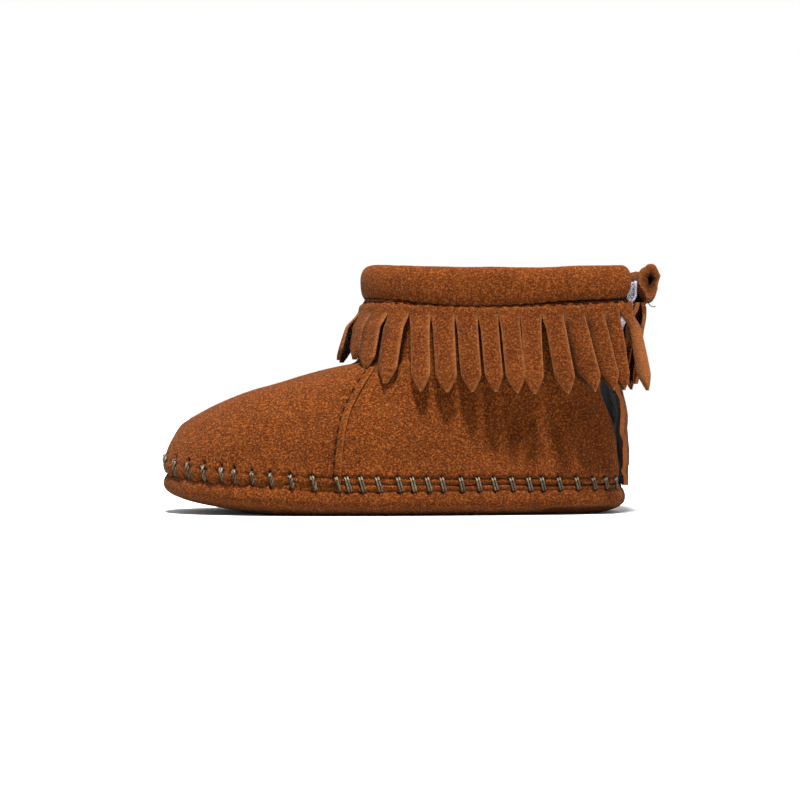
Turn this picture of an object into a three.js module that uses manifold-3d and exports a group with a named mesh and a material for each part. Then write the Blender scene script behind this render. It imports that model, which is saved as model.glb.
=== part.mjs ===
// Infant's soft-soled suede boot in the moccasin style: toe towards -X, near side towards -Y, floor at z = 0.
import * as THREE from "three";
import { mergeVertices } from "three/addons/utils/BufferGeometryUtils.js";
import Module from "manifold-3d";

const wasm = await Module();
wasm.setup();

// Driving dimensions in millimetres
const SOLE_LENGTH = 117.8; // toe to heel along the seam
const BALL_WIDTH = 54; // across the ball, outside
const HEEL_WIDTH = 43; // across the heel, outside
const SEAM_HEIGHT = 7.6; // where the sole meets the upper at waist and heel
const TOE_SEAM_HEIGHT = 10.4; // the same seam at the toe
const TOE_SPRING = 4.2; // how far the underside lifts at the toe
const SPRING_RUN = 34; // length of the underside that lifts
const VAMP_LENGTH = 49.2; // toe to the front of the shaft
const INSTEP_HEIGHT = 38; // top of the vamp at the shaft
const COLLAR_HEIGHT = 54.6; // top edge of the upper's wall
const COLLAR_SAG = 1.4; // how far the collar dips between front and heel
const COLLAR_WIDTH = 43; // across the collar, outside the wall
const UPPER_WALL = 1.8; // suede and its backing
const VAMP_LAP = 0.8; // step where the vamp laps over the quarters
const SOLE_WALL = 2; // the sole's turned-up rim
const SOLE_PAD = 4.2; // stuffed bottom
const SOLE_PLUMP = 1.3; // how far the rim bulges past the seam
const SOLE_SCALLOP = 0.15; // how far the underside's edge lifts between the places where it touches the floor
const INSOLE_THICKNESS = 2.6;
const ROLL_HEIGHT = 8.6; // the collar's padded roll
const ROLL_THICKNESS = 6;
const ROLL_FULLNESS = 0.85; // 1 is an oval section, less is squarer
const FRINGE_LENGTH = 22.6; // from the roll down to the tips
const FLAP_FRINGE_LENGTH = 20.4;
const FRINGE_BAND = 3.2; // uncut band at the fringe's top
const FRINGE_THICKNESS = 1.1;
const BAND_SLOPE = 0.16; // how much the band stands off for each millimetre down
const STRIP_PITCH = 5.35;
const STRIP_GAP = 0.5;
const FLAP_TOP = 53.4; // top edge of the flap's wall
const FLAP_THICKNESS = 1.6;
const FLAP_TOP_WIDTH = 34;
const FLAP_ROLL_THICKNESS = 4.6;
const FLAP_ROLL_SETBACK = 2.4; // how far the flap's roll sits behind the middle of its wall
const FLAP_ROLL_BORE = 2.2; // height of the opening inside the flap's roll
const PATCH_THICKNESS = 0.9;
const PATCH_REACH = 0.72; // the flap's patch, as a share of the flap's width
const PATCH_LENGTH = 12;
const PATCH_HEIGHT = 11;
const PATCH_BOTTOM = 33.4;
const GAP = 0.3; // clearance between pieces that touch

// Shapes of the outline's ends: 2 is an ellipse, more is squarer
const TOE_SQUARENESS = 2.45;
const COLLAR_SQUARENESS = 2.15;
const HEEL_SQUARENESS = 3;

// Sections of the upper from the seam to the collar.
// front: share of the vamp's length. up: 0 at the toe's seam, 1 at the instep, 2 at the collar.
// back: share of the sole's length. rise: 0 at the heel's seam, 1 at the collar.
// ball, heel: shares of their widths. shaft: how far the width is the collar's. drop: how soon the line falls.
const UPPER_SECTIONS = [
  { front: 0.028, up: 0.0, back: 0.997, rise: 0.0, ball: 0.96, heel: 0.975, shaft: 0, drop: 8 },
  { front: 0.016, up: 0.085, back: 1.003, rise: 0.06, ball: 0.985, heel: 1.0, shaft: 0, drop: 6 },
  { front: 0.024, up: 0.19, back: 1.003, rise: 0.145, ball: 0.975, heel: 0.99, shaft: 0, drop: 4 },
  { front: 0.052, up: 0.295, back: 1.001, rise: 0.24, ball: 0.95, heel: 0.98, shaft: 0, drop: 3 },
  { front: 0.1, up: 0.42, back: 0.999, rise: 0.33, ball: 0.9, heel: 0.965, shaft: 0, drop: 2 },
  { front: 0.18, up: 0.515, back: 0.996, rise: 0.405, ball: 0.85, heel: 0.955, shaft: 0, drop: 1.5 },
  { front: 0.29, up: 0.612, back: 0.994, rise: 0.47, ball: 0.805, heel: 0.95, shaft: 0.05, drop: 1 },
  { front: 0.448, up: 0.717, back: 0.995, rise: 0.54, ball: 0.77, heel: 0.95, shaft: 0.1, drop: 1 },
  { front: 0.606, up: 0.802, back: 0.997, rise: 0.6, ball: 0.75, heel: 0.95, shaft: 0.2, drop: 1 },
  { front: 0.776, up: 0.892, back: 1.001, rise: 0.66, ball: 0.74, heel: 0.955, shaft: 0.35, drop: 1 },
  { front: 0.915, up: 0.957, back: 1.007, rise: 0.72, ball: 0.735, heel: 0.965, shaft: 0.5, drop: 1 },
  { front: 1.01, up: 1.01, back: 1.013, rise: 0.765, ball: 0.735, heel: 0.975, shaft: 0.65, drop: 1 },
  { front: 1.036, up: 1.2, back: 1.021, rise: 0.82, ball: 0.75, heel: 0.98, shaft: 0.78, drop: 1 },
  { front: 1.052, up: 1.45, back: 1.033, rise: 0.88, ball: 0.76, heel: 0.99, shaft: 0.88, drop: 1 },
  { front: 1.062, up: 1.73, back: 1.049, rise: 0.94, ball: 0.78, heel: 1.0, shaft: 0.95, drop: 1 },
  { front: 1.07, up: 2.0, back: 1.065, rise: 1.0, ball: 0.8, heel: 1.0, shaft: 1, drop: 1 },
];

// The vamp's rear edge. up: share of the collar's height. along: share of the vamp's length.
const LAP_LINE = [
  { up: 0.0, along: 0.935 },
  { up: 0.2, along: 0.94 },
  { up: 0.385, along: 0.96 },
  { up: 0.52, along: 1.008 },
  { up: 0.7, along: 1.125 },
  { up: 0.85, along: 1.18 },
  { up: 1.0, along: 1.21 },
];

// The quarters' rear edges. up: share of the collar's height. along: share of the sole's length.
const REAR_LINE = [
  { up: 0, along: 0.987 },
  { up: 0.25, along: 0.987 },
  { up: 0.34, along: 0.986 },
  { up: 0.4, along: 0.980 },
  { up: 0.455, along: 0.970 },
  { up: 0.52, along: 0.956 },
  { up: 0.58, along: 0.948 },
  { up: 0.64, along: 0.951 },
  { up: 0.82, along: 0.97 },
  { up: 1, along: 1.006 },
];

// The sole's rim from the seam down. up: share of the seam's height. out: share of the plump.
const RIM_SECTIONS = [
  { up: 1.0, out: 0.0 },
  { up: 0.82, out: 0.65 },
  { up: 0.58, out: 1.0 },
  { up: 0.34, out: 0.7 },
  { up: 0.15, out: -0.65 },
  { up: 0.04, out: -2.5 },
  { up: 0.0, out: -4.6 },
];

// The flap from its hinge up. up: share of its height. back: share of the sole's length, at its outer face.
// half: share of half its top width. bow: how far its edges curl forward, as a share of its thickness.
const FLAP_SECTIONS = [
  { up: 0, back: 1.009, half: 0.53, bow: 0.2 },
  { up: 0.11, back: 1.017, half: 0.58, bow: 0.5 },
  { up: 0.26, back: 1.016, half: 0.66, bow: 0.8 },
  { up: 0.4, back: 1.014, half: 0.72, bow: 0.9 },
  { up: 0.46, back: 1.007, half: 0.74, bow: 0.9 },
  { up: 0.53, back: 1.001, half: 0.77, bow: 0.9 },
  { up: 0.65, back: 1.005, half: 0.83, bow: 0.8 },
  { up: 0.78, back: 1.014, half: 0.9, bow: 0.7 },
  { up: 0.9, back: 1.026, half: 0.96, bow: 0.6 },
  { up: 1, back: 1.038, half: 1, bow: 0.6 },
];

// How the near side's strips hang, rear to front. lean: share of the fringe's length towards the heel.
// stand: how far the tip stands off, as a share of the fringe's length.
const STRIP_HANGS = [
  { lean: 0.25, stand: 0.2 },
  { lean: 0.14, stand: 0.2 },
  { lean: 0.18, stand: 0.24 },
  { lean: 0.21, stand: 0.22 },
  { lean: 0.16, stand: 0.18 },
  { lean: 0.07, stand: 0.16 },
  { lean: 0.09, stand: 0.15 },
  { lean: 0.08, stand: 0.15 },
  { lean: 0.09, stand: 0.15 },
  { lean: 0.08, stand: 0.15 },
  { lean: 0.04, stand: 0.18 },
  { lean: -0.06, stand: 0.22 },
  { lean: -0.14, stand: 0.26 },
];
const FRONT_STAND = 0.46; // the same share for the strips round the front
const SIDE_CURL = 1.15; // 1 hangs straight, more turns out late, less turns out early
const FRONT_CURL = 0.8;
const LEAN_CURL = 1.4;
const FLAP_HANG = -0.1; // the flap's strips hang in, not out
const FRONT_LENGTH = 0.68; // how long those strips are, as a share of the others

// Lengthwise sections of one strip. down: share of the fringe's length. wide: share of the strip's width.
const STRIP_SECTIONS = [
  { down: 0.09, wide: 0.92 },
  { down: 0.17, wide: 1.0 },
  { down: 0.42, wide: 1.0 },
  { down: 0.66, wide: 1.0 },
  { down: 0.88, wide: 0.95 },
  { down: 0.965, wide: 0.5 },
  { down: 1.0, wide: 0.16 },
];

// Mesh densities
const UPPER_RINGS = 21;
const VAMP_COLUMNS = 9;
const QUARTER_COLUMNS = 11;
const SOLE_COLUMNS = 60;
const SCALLOP_COLUMNS = 5; // columns from one such place to the next
const ROLL_SIDES = 12;
const SLIVER = 0.02; // millimetres below which a joined solid's detail is dropped

const { lerp, clamp, smoothstep } = THREE.MathUtils;

// Smooth curve through a table's column, at a row index that may lie between rows
function tableAt(table, column, index) {
  const last = table.length - 1;
  const row = clamp(Math.floor(index), 0, last - 1);
  const value = (k) => table[clamp(k, 0, last)][column];
  const f = index - row;
  const [a, b, c, d] = [value(row - 1), value(row), value(row + 1), value(row + 2)];
  const slopeB = (c - a) / 2;
  const slopeC = (d - b) / 2;
  return (
    b * (1 + 2 * f) * (1 - f) ** 2 + slopeB * f * (1 - f) ** 2 + c * f * f * (3 - 2 * f) + slopeC * f * f * (f - 1)
  );
}

// Row index at which a table's rising column reaches a value
function indexOf(table, column, value) {
  const last = table.length - 1;
  let row = 0;
  while (row < last - 1 && table[row + 1][column] < value) row += 1;
  const span = table[row + 1][column] - table[row][column];
  return row + clamp((value - table[row][column]) / span, 0, 1);
}

const along = (table, up) => tableAt(table, "along", indexOf(table, "up", up));
const lapX = (z) => along(LAP_LINE, z / COLLAR_HEIGHT) * VAMP_LENGTH;
const rearX = (z) => along(REAR_LINE, z / COLLAR_HEIGHT) * SOLE_LENGTH;

// One closed section of the upper, as its ends, widths and shape
function upperSection(index) {
  const at = (column) => tableAt(UPPER_SECTIONS, column, index);
  const up = at("up");
  const shaft = at("shaft");
  return {
    frontX: at("front") * VAMP_LENGTH,
    backX: at("back") * SOLE_LENGTH,
    frontZ:
      up <= 1
        ? lerp(TOE_SEAM_HEIGHT, INSTEP_HEIGHT, up)
        : lerp(INSTEP_HEIGHT, COLLAR_HEIGHT, up - 1),
    backZ: lerp(SEAM_HEIGHT, COLLAR_HEIGHT, at("rise")),
    ball: lerp((at("ball") * BALL_WIDTH) / 2, COLLAR_WIDTH / 2, shaft),
    heel: lerp((at("heel") * HEEL_WIDTH) / 2, COLLAR_WIDTH / 2, shaft),
    drop: at("drop"),
    sag: COLLAR_SAG * Math.max(0, up - 1),
    toePower: lerp(TOE_SQUARENESS, COLLAR_SQUARENESS, shaft),
  };
}

// Point of a section at a share of its length, on the side given by sign
function sectionPoint(section, share, sign) {
  const s = clamp(share, 0, 1);
  const fromMiddle = Math.abs(2 * s - 1);
  const power = s < 0.5 ? section.toePower : HEEL_SQUARENESS;
  const round = Math.max(0, 1 - fromMiddle ** power) ** (1 / power);
  const width = lerp(section.ball, section.heel, smoothstep(s, 0.3, 0.85));
  return new THREE.Vector3(
    lerp(section.frontX, section.backX, s),
    sign * width * round,
    section.backZ + (section.frontZ - section.backZ) * (1 - s) ** section.drop - section.sag * 4 * s * (1 - s),
  );
}

// Shares of a section's length, evenly spaced along its curve between two shares
function evenShares(section, from, to, count) {
  const FINE = 120;
  const fine = [];
  let length = 0;
  let before = null;
  for (let k = 0; k <= FINE; k += 1) {
    const share = lerp(from, to, (1 - Math.cos((Math.PI * k) / FINE)) / 2);
    const point = sectionPoint(section, share, 1);
    length += before ? point.distanceTo(before) : 0;
    before = point;
    fine.push({ share, length });
  }
  const shares = [];
  for (let k = 0; k <= count; k += 1) {
    shares.push(tableAt(fine, "share", indexOf(fine, "length", (length * k) / count)));
  }
  shares[0] = from;
  shares[count] = to;
  return shares;
}

// Share of a section's length where it crosses a line given by x as a function of height
function shareAtLine(section, lineX) {
  let share = 0.5;
  for (let k = 0; k < 12; k += 1) {
    const z = sectionPoint(section, share, 1).z;
    share = (lineX(z) - section.frontX) / (section.backX - section.frontX);
  }
  return clamp(share, 0.02, 0.999);
}

// Point of the upper's outer face at a place given in the side view
function wallPoint(x, z, sign) {
  let low = 0;
  let high = UPPER_SECTIONS.length - 1;
  let point = null;
  for (let k = 0; k < 24; k += 1) {
    const index = (low + high) / 2;
    const section = upperSection(index);
    point = sectionPoint(section, (x - section.frontX) / (section.backX - section.frontX), sign);
    if (point.z < z) low = index;
    else high = index;
  }
  return point;
}

// Unit normals of a grid of points, facing the side that its rows and columns turn to
function gridNormals(grid) {
  const rows = grid.length;
  const columns = grid[0].length;
  return grid.map((row, i) =>
    row.map((_, j) => {
      const down = grid[Math.max(i - 1, 0)][j];
      const up = grid[Math.min(i + 1, rows - 1)][j];
      const left = row[Math.max(j - 1, 0)];
      const right = row[Math.min(j + 1, columns - 1)];
      const across = right.clone().sub(left);
      return across.cross(up.clone().sub(down)).normalize();
    }),
  );
}

// A grid moved along its normals by a distance for each point
function offsetGrid(grid, normals, distance) {
  return grid.map((row, i) => row.map((p, j) => p.clone().addScaledVector(normals[i][j], distance(i, j))));
}

function geometryOf(points, triangles) {
  const geometry = new THREE.BufferGeometry();
  geometry.setAttribute(
    "position",
    new THREE.Float32BufferAttribute(
      points.flatMap((p) => [p.x, p.y, p.z]),
      3,
    ),
  );
  geometry.setIndex(triangles);
  return geometry;
}

// Closed solid between an outer grid and an inner grid of the same size
function sheetSolid(outer, inner) {
  const rows = outer.length;
  const columns = outer[0].length;
  const points = [...outer.flat(), ...inner.flat()];
  const at = (i, j, side) => side * rows * columns + i * columns + j;
  const triangles = [];
  const quad = (a, b, c, d) => triangles.push(a, b, c, a, c, d);
  for (let i = 0; i + 1 < rows; i += 1) {
    for (let j = 0; j + 1 < columns; j += 1) {
      quad(at(i, j, 0), at(i, j + 1, 0), at(i + 1, j + 1, 0), at(i + 1, j, 0));
      quad(at(i, j, 1), at(i + 1, j, 1), at(i + 1, j + 1, 1), at(i, j + 1, 1));
    }
    quad(at(i, 0, 0), at(i + 1, 0, 0), at(i + 1, 0, 1), at(i, 0, 1));
    quad(at(i, columns - 1, 0), at(i, columns - 1, 1), at(i + 1, columns - 1, 1), at(i + 1, columns - 1, 0));
  }
  for (let j = 0; j + 1 < columns; j += 1) {
    quad(at(0, j, 0), at(0, j, 1), at(0, j + 1, 1), at(0, j + 1, 0));
    quad(at(rows - 1, j, 0), at(rows - 1, j + 1, 0), at(rows - 1, j + 1, 1), at(rows - 1, j, 1));
  }
  return geometryOf(points, triangles);
}

// Closed solid through a stack of rings, whose ends are closed by strips from side to side
function loftSolid(rings) {
  const count = rings[0].length;
  const triangles = [];
  const cap = (start, turned) => {
    for (let k = 0; k < count / 2; k += 1) {
      const [a, b, c, d] = [k, k + 1, (count - k - 1) % count, (count - k) % count].map((n) => start + n);
      const faces = [a, b, c, a, c, d];
      if (k === 0) faces.length = 3;
      if (k === count / 2 - 1) faces.splice(0, 3);
      triangles.push(...(turned ? faces.reverse() : faces));
    }
  };
  for (let i = 0; i + 1 < rings.length; i += 1) {
    for (let k = 0; k < count; k += 1) {
      const next = (k + 1) % count;
      const [a, b] = [i * count + k, i * count + next];
      triangles.push(a, b, b + count, a, b + count, a + count);
    }
  }
  cap(0, true);
  cap((rings.length - 1) * count, false);
  return geometryOf(rings.flat(), triangles);
}

// Boolean work on closed geometries
function toSolid(geometry) {
  const bare = new THREE.BufferGeometry().setAttribute("position", geometry.getAttribute("position"));
  bare.setIndex(geometry.index);
  const merged = mergeVertices(bare, 1e-4);
  return new wasm.Manifold(
    new wasm.Mesh({
      numProp: 3,
      vertProperties: merged.attributes.position.array,
      triVerts: new Uint32Array(merged.index.array),
    }),
  );
}

// The joined solid's outer shell without slivers, any pocket between a strip and its band filled
function fromSolid(solid) {
  const outer = solid.decompose().find((shell) => shell.volume() > 0);
  const mesh = outer.simplify(SLIVER).getMesh();
  const geometry = new THREE.BufferGeometry();
  geometry.setAttribute("position", new THREE.BufferAttribute(mesh.vertProperties, 3));
  geometry.setIndex(new THREE.BufferAttribute(mesh.triVerts, 1));
  return geometry;
}

// The seam's line round the sole, moved outwards in plan, at a height for each place
function seamRing(outwards, heightAt) {
  const section = upperSection(0);
  const half = evenShares(section, 0, 1, SOLE_COLUMNS / 2);
  const near = half.map((share) => sectionPoint(section, share, -1));
  const far = half.map((share) => sectionPoint(section, share, 1));
  const line = [...near, ...far.slice(1, -1).reverse()];
  return line.map((p, k) => {
    const before = line[(k + line.length - 1) % line.length];
    const after = line[(k + 1) % line.length];
    const normal = new THREE.Vector2(after.y - before.y, before.x - after.x).normalize();
    const moved = new THREE.Vector3(p.x + normal.x * outwards, p.y + normal.y * outwards, p.z);
    moved.z = heightAt(moved, p.z, k);
    return moved;
  });
}

const undersideZ = (x) => TOE_SPRING * Math.max(0, 1 - Math.max(x, 0) / SPRING_RUN) ** 1.6;

// The bottom piece: plump underside, rim turned up to the seam, stuffed floor inside
function soleGeometry() {
  const scallop = (k) => (k % SCALLOP_COLUMNS === 0 ? 0 : SOLE_SCALLOP);
  const rim = RIM_SECTIONS.map((row) =>
    seamRing(row.out * SOLE_PLUMP, (p, seamZ, k) => {
      const base = undersideZ(p.x) + (row.up === 0 ? scallop(k) : 0);
      return lerp(base, seamZ - GAP / 2, row.up);
    }),
  ).reverse();
  const rimInside = seamRing(-SOLE_WALL, (p, seamZ) => seamZ - GAP / 2);
  const floorEdge = seamRing(-SOLE_WALL, (p) => undersideZ(p.x) + SOLE_PAD);
  return loftSolid([...rim, rimInside, floorEdge]);
}

// The pad inside, on the sole's stuffed floor
function insoleGeometry() {
  const inset = -(SOLE_WALL + 2 * GAP);
  const level = (share) => (p) => undersideZ(p.x) + SOLE_PAD + GAP + share * INSOLE_THICKNESS;
  return loftSolid([
    seamRing(inset - INSOLE_THICKNESS / 3, level(0)),
    seamRing(inset, level(0.3)),
    seamRing(inset, level(0.75)),
    seamRing(inset - INSOLE_THICKNESS / 3, level(1)),
  ]);
}

// Shares round a section from the near rear edge over the front to the far rear edge
function upperColumns(section) {
  const lap = shareAtLine(section, lapX);
  const rear = shareAtLine(section, rearX);
  const behindLap = lap + (0.4 * VAMP_LAP) / (section.backX - section.frontX);
  const vamp = evenShares(section, 0, lap, VAMP_COLUMNS);
  const quarter = evenShares(section, behindLap, rear, QUARTER_COLUMNS);
  const half = [...vamp.map((share) => ({ share, lapped: true })), ...quarter.map((share) => ({ share, lapped: false }))];
  const near = half.slice(1).reverse().map((c) => ({ ...c, sign: -1 }));
  return [...near, ...half.map((c) => ({ ...c, sign: 1 }))];
}

// Vamp and quarters as one hollow wall, open at the collar, at the heel and underneath
function upperGeometry() {
  const last = UPPER_SECTIONS.length - 1;
  const grid = [];
  let columns = null;
  for (let i = 0; i <= UPPER_RINGS; i += 1) {
    const section = upperSection((last * i) / UPPER_RINGS);
    columns = upperColumns(section);
    grid.push(columns.map((c) => sectionPoint(section, c.share, c.sign)));
  }
  grid[0].forEach((p) => (p.z += GAP / 2));
  const normals = gridNormals(grid).map((row) => row.map((n) => n.negate()));
  [normals[0], normals[UPPER_RINGS]].flat().forEach((n) => n.setZ(0).normalize());
  const outer = offsetGrid(grid, normals, (i, j) => (columns[j].lapped ? VAMP_LAP : 0));
  const inner = offsetGrid(grid, normals, () => -UPPER_WALL);
  return sheetSolid(inner, outer);
}

// The collar's line: points with their outward normals, evenly spaced from rear edge to rear edge
function collarLine(count) {
  const section = upperSection(UPPER_SECTIONS.length - 1);
  const rear = shareAtLine(section, rearX);
  const half = evenShares(section, 0, rear, count / 2);
  const near = half.slice(1).reverse().map((share) => sectionPoint(section, share, -1));
  const points = [...near, ...half.map((share) => sectionPoint(section, share, 1))];
  return points.map((p, k) => {
    const before = points[Math.max(k - 1, 0)];
    const after = points[Math.min(k + 1, count)];
    const out = new THREE.Vector3(before.y - after.y, after.x - before.x, 0).normalize();
    const ahead = after.clone().sub(before).normalize();
    return { point: p, out, ahead };
  });
}

// A rounded ring across a path, at its centre, with its two half sizes
function ovalRing(centre, out, halfThick, halfHigh) {
  const ring = [];
  const full = (value) => Math.sign(value) * Math.abs(value) ** ROLL_FULLNESS;
  for (let k = 0; k < ROLL_SIDES; k += 1) {
    const angle = (2 * Math.PI * k) / ROLL_SIDES;
    ring.push(
      centre
        .clone()
        .addScaledVector(out, full(Math.sin(angle)) * halfThick)
        .add(new THREE.Vector3(0, 0, full(Math.cos(angle)) * halfHigh)),
    );
  }
  return ring;
}

// The padded roll on the collar's edge, with closed round ends
function collarRollGeometry() {
  const COLUMNS = 40;
  const END_RINGS = [
    { past: 0, swell: 0.45 },
    { past: 0.08, swell: 0.72 },
    { past: 0.28, swell: 0.93 },
  ];
  const END_LENGTH = 0.5;
  const line = collarLine(COLUMNS).map((place) => ({ ...place, past: 0, swell: 1 }));
  const first = END_RINGS.map((end) => ({ ...line[0], ...end }));
  const last = END_RINGS.map((end) => ({ ...line[COLUMNS], ...end, past: -end.past })).reverse();
  line[0].past = END_LENGTH;
  line[COLUMNS].past = -END_LENGTH;
  const rings = [...first, ...line, ...last].map(({ point, out, ahead, past, swell }) => {
    const centre = point
      .clone()
      .addScaledVector(out, -UPPER_WALL / 2)
      .addScaledVector(ahead, past * ROLL_THICKNESS);
    centre.z = point.z + GAP + ROLL_HEIGHT / 2;
    return ovalRing(centre, out, (swell * ROLL_THICKNESS) / 2, (swell * ROLL_HEIGHT) / 2);
  });
  return loftSolid(rings.map((ring) => ring.reverse()));
}

// One strip: hung from a point, out along a normal, leaning along the band
function stripSolid({ point, out, ahead, start, slope, lean, stand, curl, length }) {
  const half = (STRIP_PITCH - STRIP_GAP) / 2;
  const faces = [start + FRINGE_THICKNESS, start].map((base) =>
    STRIP_SECTIONS.map(({ down, wide }) => {
      const fall = down * length;
      const away = base + (stand < 0 ? stand * fall : Math.max(slope * fall, stand * length * down ** curl));
      const sideways = lean * length * down ** LEAN_CURL;
      return [-1, 0, 1].map((side) =>
        point
          .clone()
          .addScaledVector(out, away)
          .addScaledVector(ahead, sideways + side * wide * half)
          .add(new THREE.Vector3(0, 0, -fall)),
      );
    }),
  );
  return toSolid(sheetSolid(faces[0], faces[1]));
}

// The uncut band along a line of points
function bandSolid(line, slope, startAt) {
  const faces = [FRINGE_THICKNESS, 0].map((extra) =>
    [0, 1].map((down) =>
      line.map(({ point, out }, k) =>
        point
          .clone()
          .addScaledVector(out, startAt(k) + extra + down * slope * FRINGE_BAND)
          .add(new THREE.Vector3(0, 0, -down * FRINGE_BAND)),
      ),
    ),
  );
  return toSolid(sheetSolid(faces[0], faces[1]));
}

// The collar's fringe: band and strips as one piece, round the outside of the wall
function collarFringeGeometry() {
  const section = upperSection(UPPER_SECTIONS.length - 1);
  const rough = collarLine(2 * SOLE_COLUMNS);
  let length = 0;
  for (let k = 0; k + 1 < rough.length; k += 1) length += rough[k].point.distanceTo(rough[k + 1].point);
  const count = Math.round(length / STRIP_PITCH);
  const line = collarLine(2 * count);
  const lapEnd = lapX(section.backZ);
  const start = (x) => GAP + VAMP_LAP * (1 - smoothstep(x, lapEnd, lapEnd + STRIP_PITCH));
  let whole = bandSolid(line, BAND_SLOPE, (k) => start(line[k].point.x));
  for (let n = 0; n < count; n += 1) {
    const hung = line[2 * n + 1];
    const fromRear = Math.min(n, count - 1 - n);
    const hang = STRIP_HANGS[Math.min(fromRear, STRIP_HANGS.length - 1)];
    const side = n < count / 2 ? -1 : 1;
    const facing = smoothstep(-hung.out.x, 0.05, 0.85);
    const strip = stripSolid({
      ...hung,
      start: start(hung.point.x),
      slope: BAND_SLOPE,
      lean: side * hang.lean * (1 - facing),
      stand: lerp(hang.stand, FRONT_STAND, facing),
      curl: lerp(SIDE_CURL, FRONT_CURL, facing),
      length: FRINGE_LENGTH * lerp(1, FRONT_LENGTH, smoothstep(-hung.out.x, 0.35, 0.98)),
    });
    whole = whole.add(strip);
  }
  return fromSolid(whole);
}

// The flap's outer face at shares of its height and half width
function flapPoint(up, side) {
  const index = indexOf(FLAP_SECTIONS, "up", up);
  const at = (column) => tableAt(FLAP_SECTIONS, column, index);
  return new THREE.Vector3(
    at("back") * SOLE_LENGTH - at("bow") * FLAP_THICKNESS * side * side,
    (side * at("half") * FLAP_TOP_WIDTH) / 2,
    lerp(SEAM_HEIGHT, FLAP_TOP, up),
  );
}

// A grid on the flap between two heights, moved backwards from its outer face
function flapGrid(low, high, reach, back, rows, columns) {
  const grid = [];
  for (let i = 0; i <= rows; i += 1) {
    const row = [];
    for (let j = 0; j <= columns; j += 1) {
      const point = flapPoint(lerp(low, high, i / rows), reach * lerp(-1, 1, j / columns));
      point.x += back;
      row.push(point);
    }
    grid.push(row);
  }
  return grid;
}

// The flap at the heel, sewn at the sole's seam and standing slack behind the quarters
function flapGeometry() {
  const outer = flapGrid(0, 1, 1, 0, 18, 8);
  const inner = flapGrid(0, 1, 1, -FLAP_THICKNESS, 18, 8);
  outer.concat(inner).forEach((row, i) => row.forEach((p) => (p.z += i % outer.length === 0 ? GAP : 0)));
  return sheetSolid(outer, inner);
}

const flapRollCentre = (side) => {
  const point = flapPoint(1, side);
  point.x += FLAP_ROLL_SETBACK - FLAP_THICKNESS / 2;
  point.z = FLAP_TOP + GAP + ROLL_HEIGHT / 2;
  return point;
};

// The flap's own roll, a flattened tube with open ends
function flapRollGeometry() {
  const BACK = new THREE.Vector3(1, 0, 0);
  const tube = (halfThick, halfHigh, reach) => {
    const rings = [];
    for (let k = -4; k <= 4; k += 1) {
      rings.push(ovalRing(flapRollCentre((reach * k) / 4), BACK, halfThick, halfHigh));
    }
    return toSolid(loftSolid(rings));
  };
  const bore = tube(FLAP_ROLL_BORE / 4, FLAP_ROLL_BORE / 2, 1.1);
  return fromSolid(tube(FLAP_ROLL_THICKNESS / 2, ROLL_HEIGHT / 2, 1).subtract(bore));
}

// The flap's fringe, hung on its outer face below the roll
function flapFringeGeometry() {
  const count = Math.round(FLAP_TOP_WIDTH / STRIP_PITCH);
  const line = [];
  for (let k = 0; k <= 2 * count; k += 1) {
    const point = flapPoint(1, lerp(1, -1, k / (2 * count)));
    line.push({ point, out: new THREE.Vector3(1, 0, 0), ahead: new THREE.Vector3(0, -1, 0) });
  }
  const hang = { start: GAP, slope: 0, lean: 0, stand: FLAP_HANG, curl: 1, length: FLAP_FRINGE_LENGTH };
  let whole = bandSolid(line, 0, () => GAP);
  for (let n = 0; n < count; n += 1) whole = whole.add(stripSolid({ ...line[2 * n + 1], ...hang }));
  return fromSolid(whole);
}

// Hook-and-loop patch on a quarter's outer face, under the fringe
function quarterPatchGeometry(sign) {
  const STEPS = 4;
  const foreX = rearX(PATCH_BOTTOM) - PATCH_LENGTH;
  const grid = [];
  for (let i = 0; i <= STEPS; i += 1) {
    const row = [];
    for (let j = 0; j <= STEPS; j += 1) {
      row.push(wallPoint(foreX + (PATCH_LENGTH * j) / STEPS, PATCH_BOTTOM + (PATCH_HEIGHT * i) / STEPS, sign));
    }
    grid.push(sign < 0 ? row : row.reverse());
  }
  const normals = gridNormals(grid);
  const outer = offsetGrid(grid, normals, () => GAP + PATCH_THICKNESS);
  const inner = offsetGrid(grid, normals, () => GAP);
  return sheetSolid(outer, inner);
}

// Its counterpart on the flap's inner face, up over the front of the flap's roll
function flapPatchGeometry() {
  const COLUMNS = 6;
  const faces = [0, PATCH_THICKNESS].map((extra) => {
    const rise = flapGrid(0.78, 1, PATCH_REACH, -(FLAP_THICKNESS + GAP + extra), 4, COLUMNS);
    rise[rise.length - 1].forEach((p) => (p.z += GAP));
    const onRoll = [0.14, 0.36, 0.62].map((share) =>
      rise[0].map((_, j) => {
        const centre = flapRollCentre(PATCH_REACH * lerp(-1, 1, j / COLUMNS));
        centre.x -= FLAP_ROLL_THICKNESS / 2 + GAP + extra;
        centre.z += (share - 0.5) * ROLL_HEIGHT;
        return centre;
      }),
    );
    return [...rise, ...onRoll];
  });
  return sheetSolid(faces[0], faces[1]);
}

// Finishes from the suede, the pile and the padding
const FINISHES = {
  suede: { color: 0x96562c, roughness: 0.95, metalness: 0 },
  fringe: { color: 0x9c5a30, roughness: 0.95, metalness: 0 },
  bottom: { color: 0x8a4c26, roughness: 0.97, metalness: 0 },
  padding: { color: 0xcbb89d, roughness: 0.98, metalness: 0 },
  pile: { color: 0xd9d5dc, roughness: 1, metalness: 0 },
};

function piece(name, geometry, finish) {
  const mesh = new THREE.Mesh(geometry, new THREE.MeshStandardMaterial(FINISHES[finish]));
  mesh.name = name;
  return mesh;
}

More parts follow.
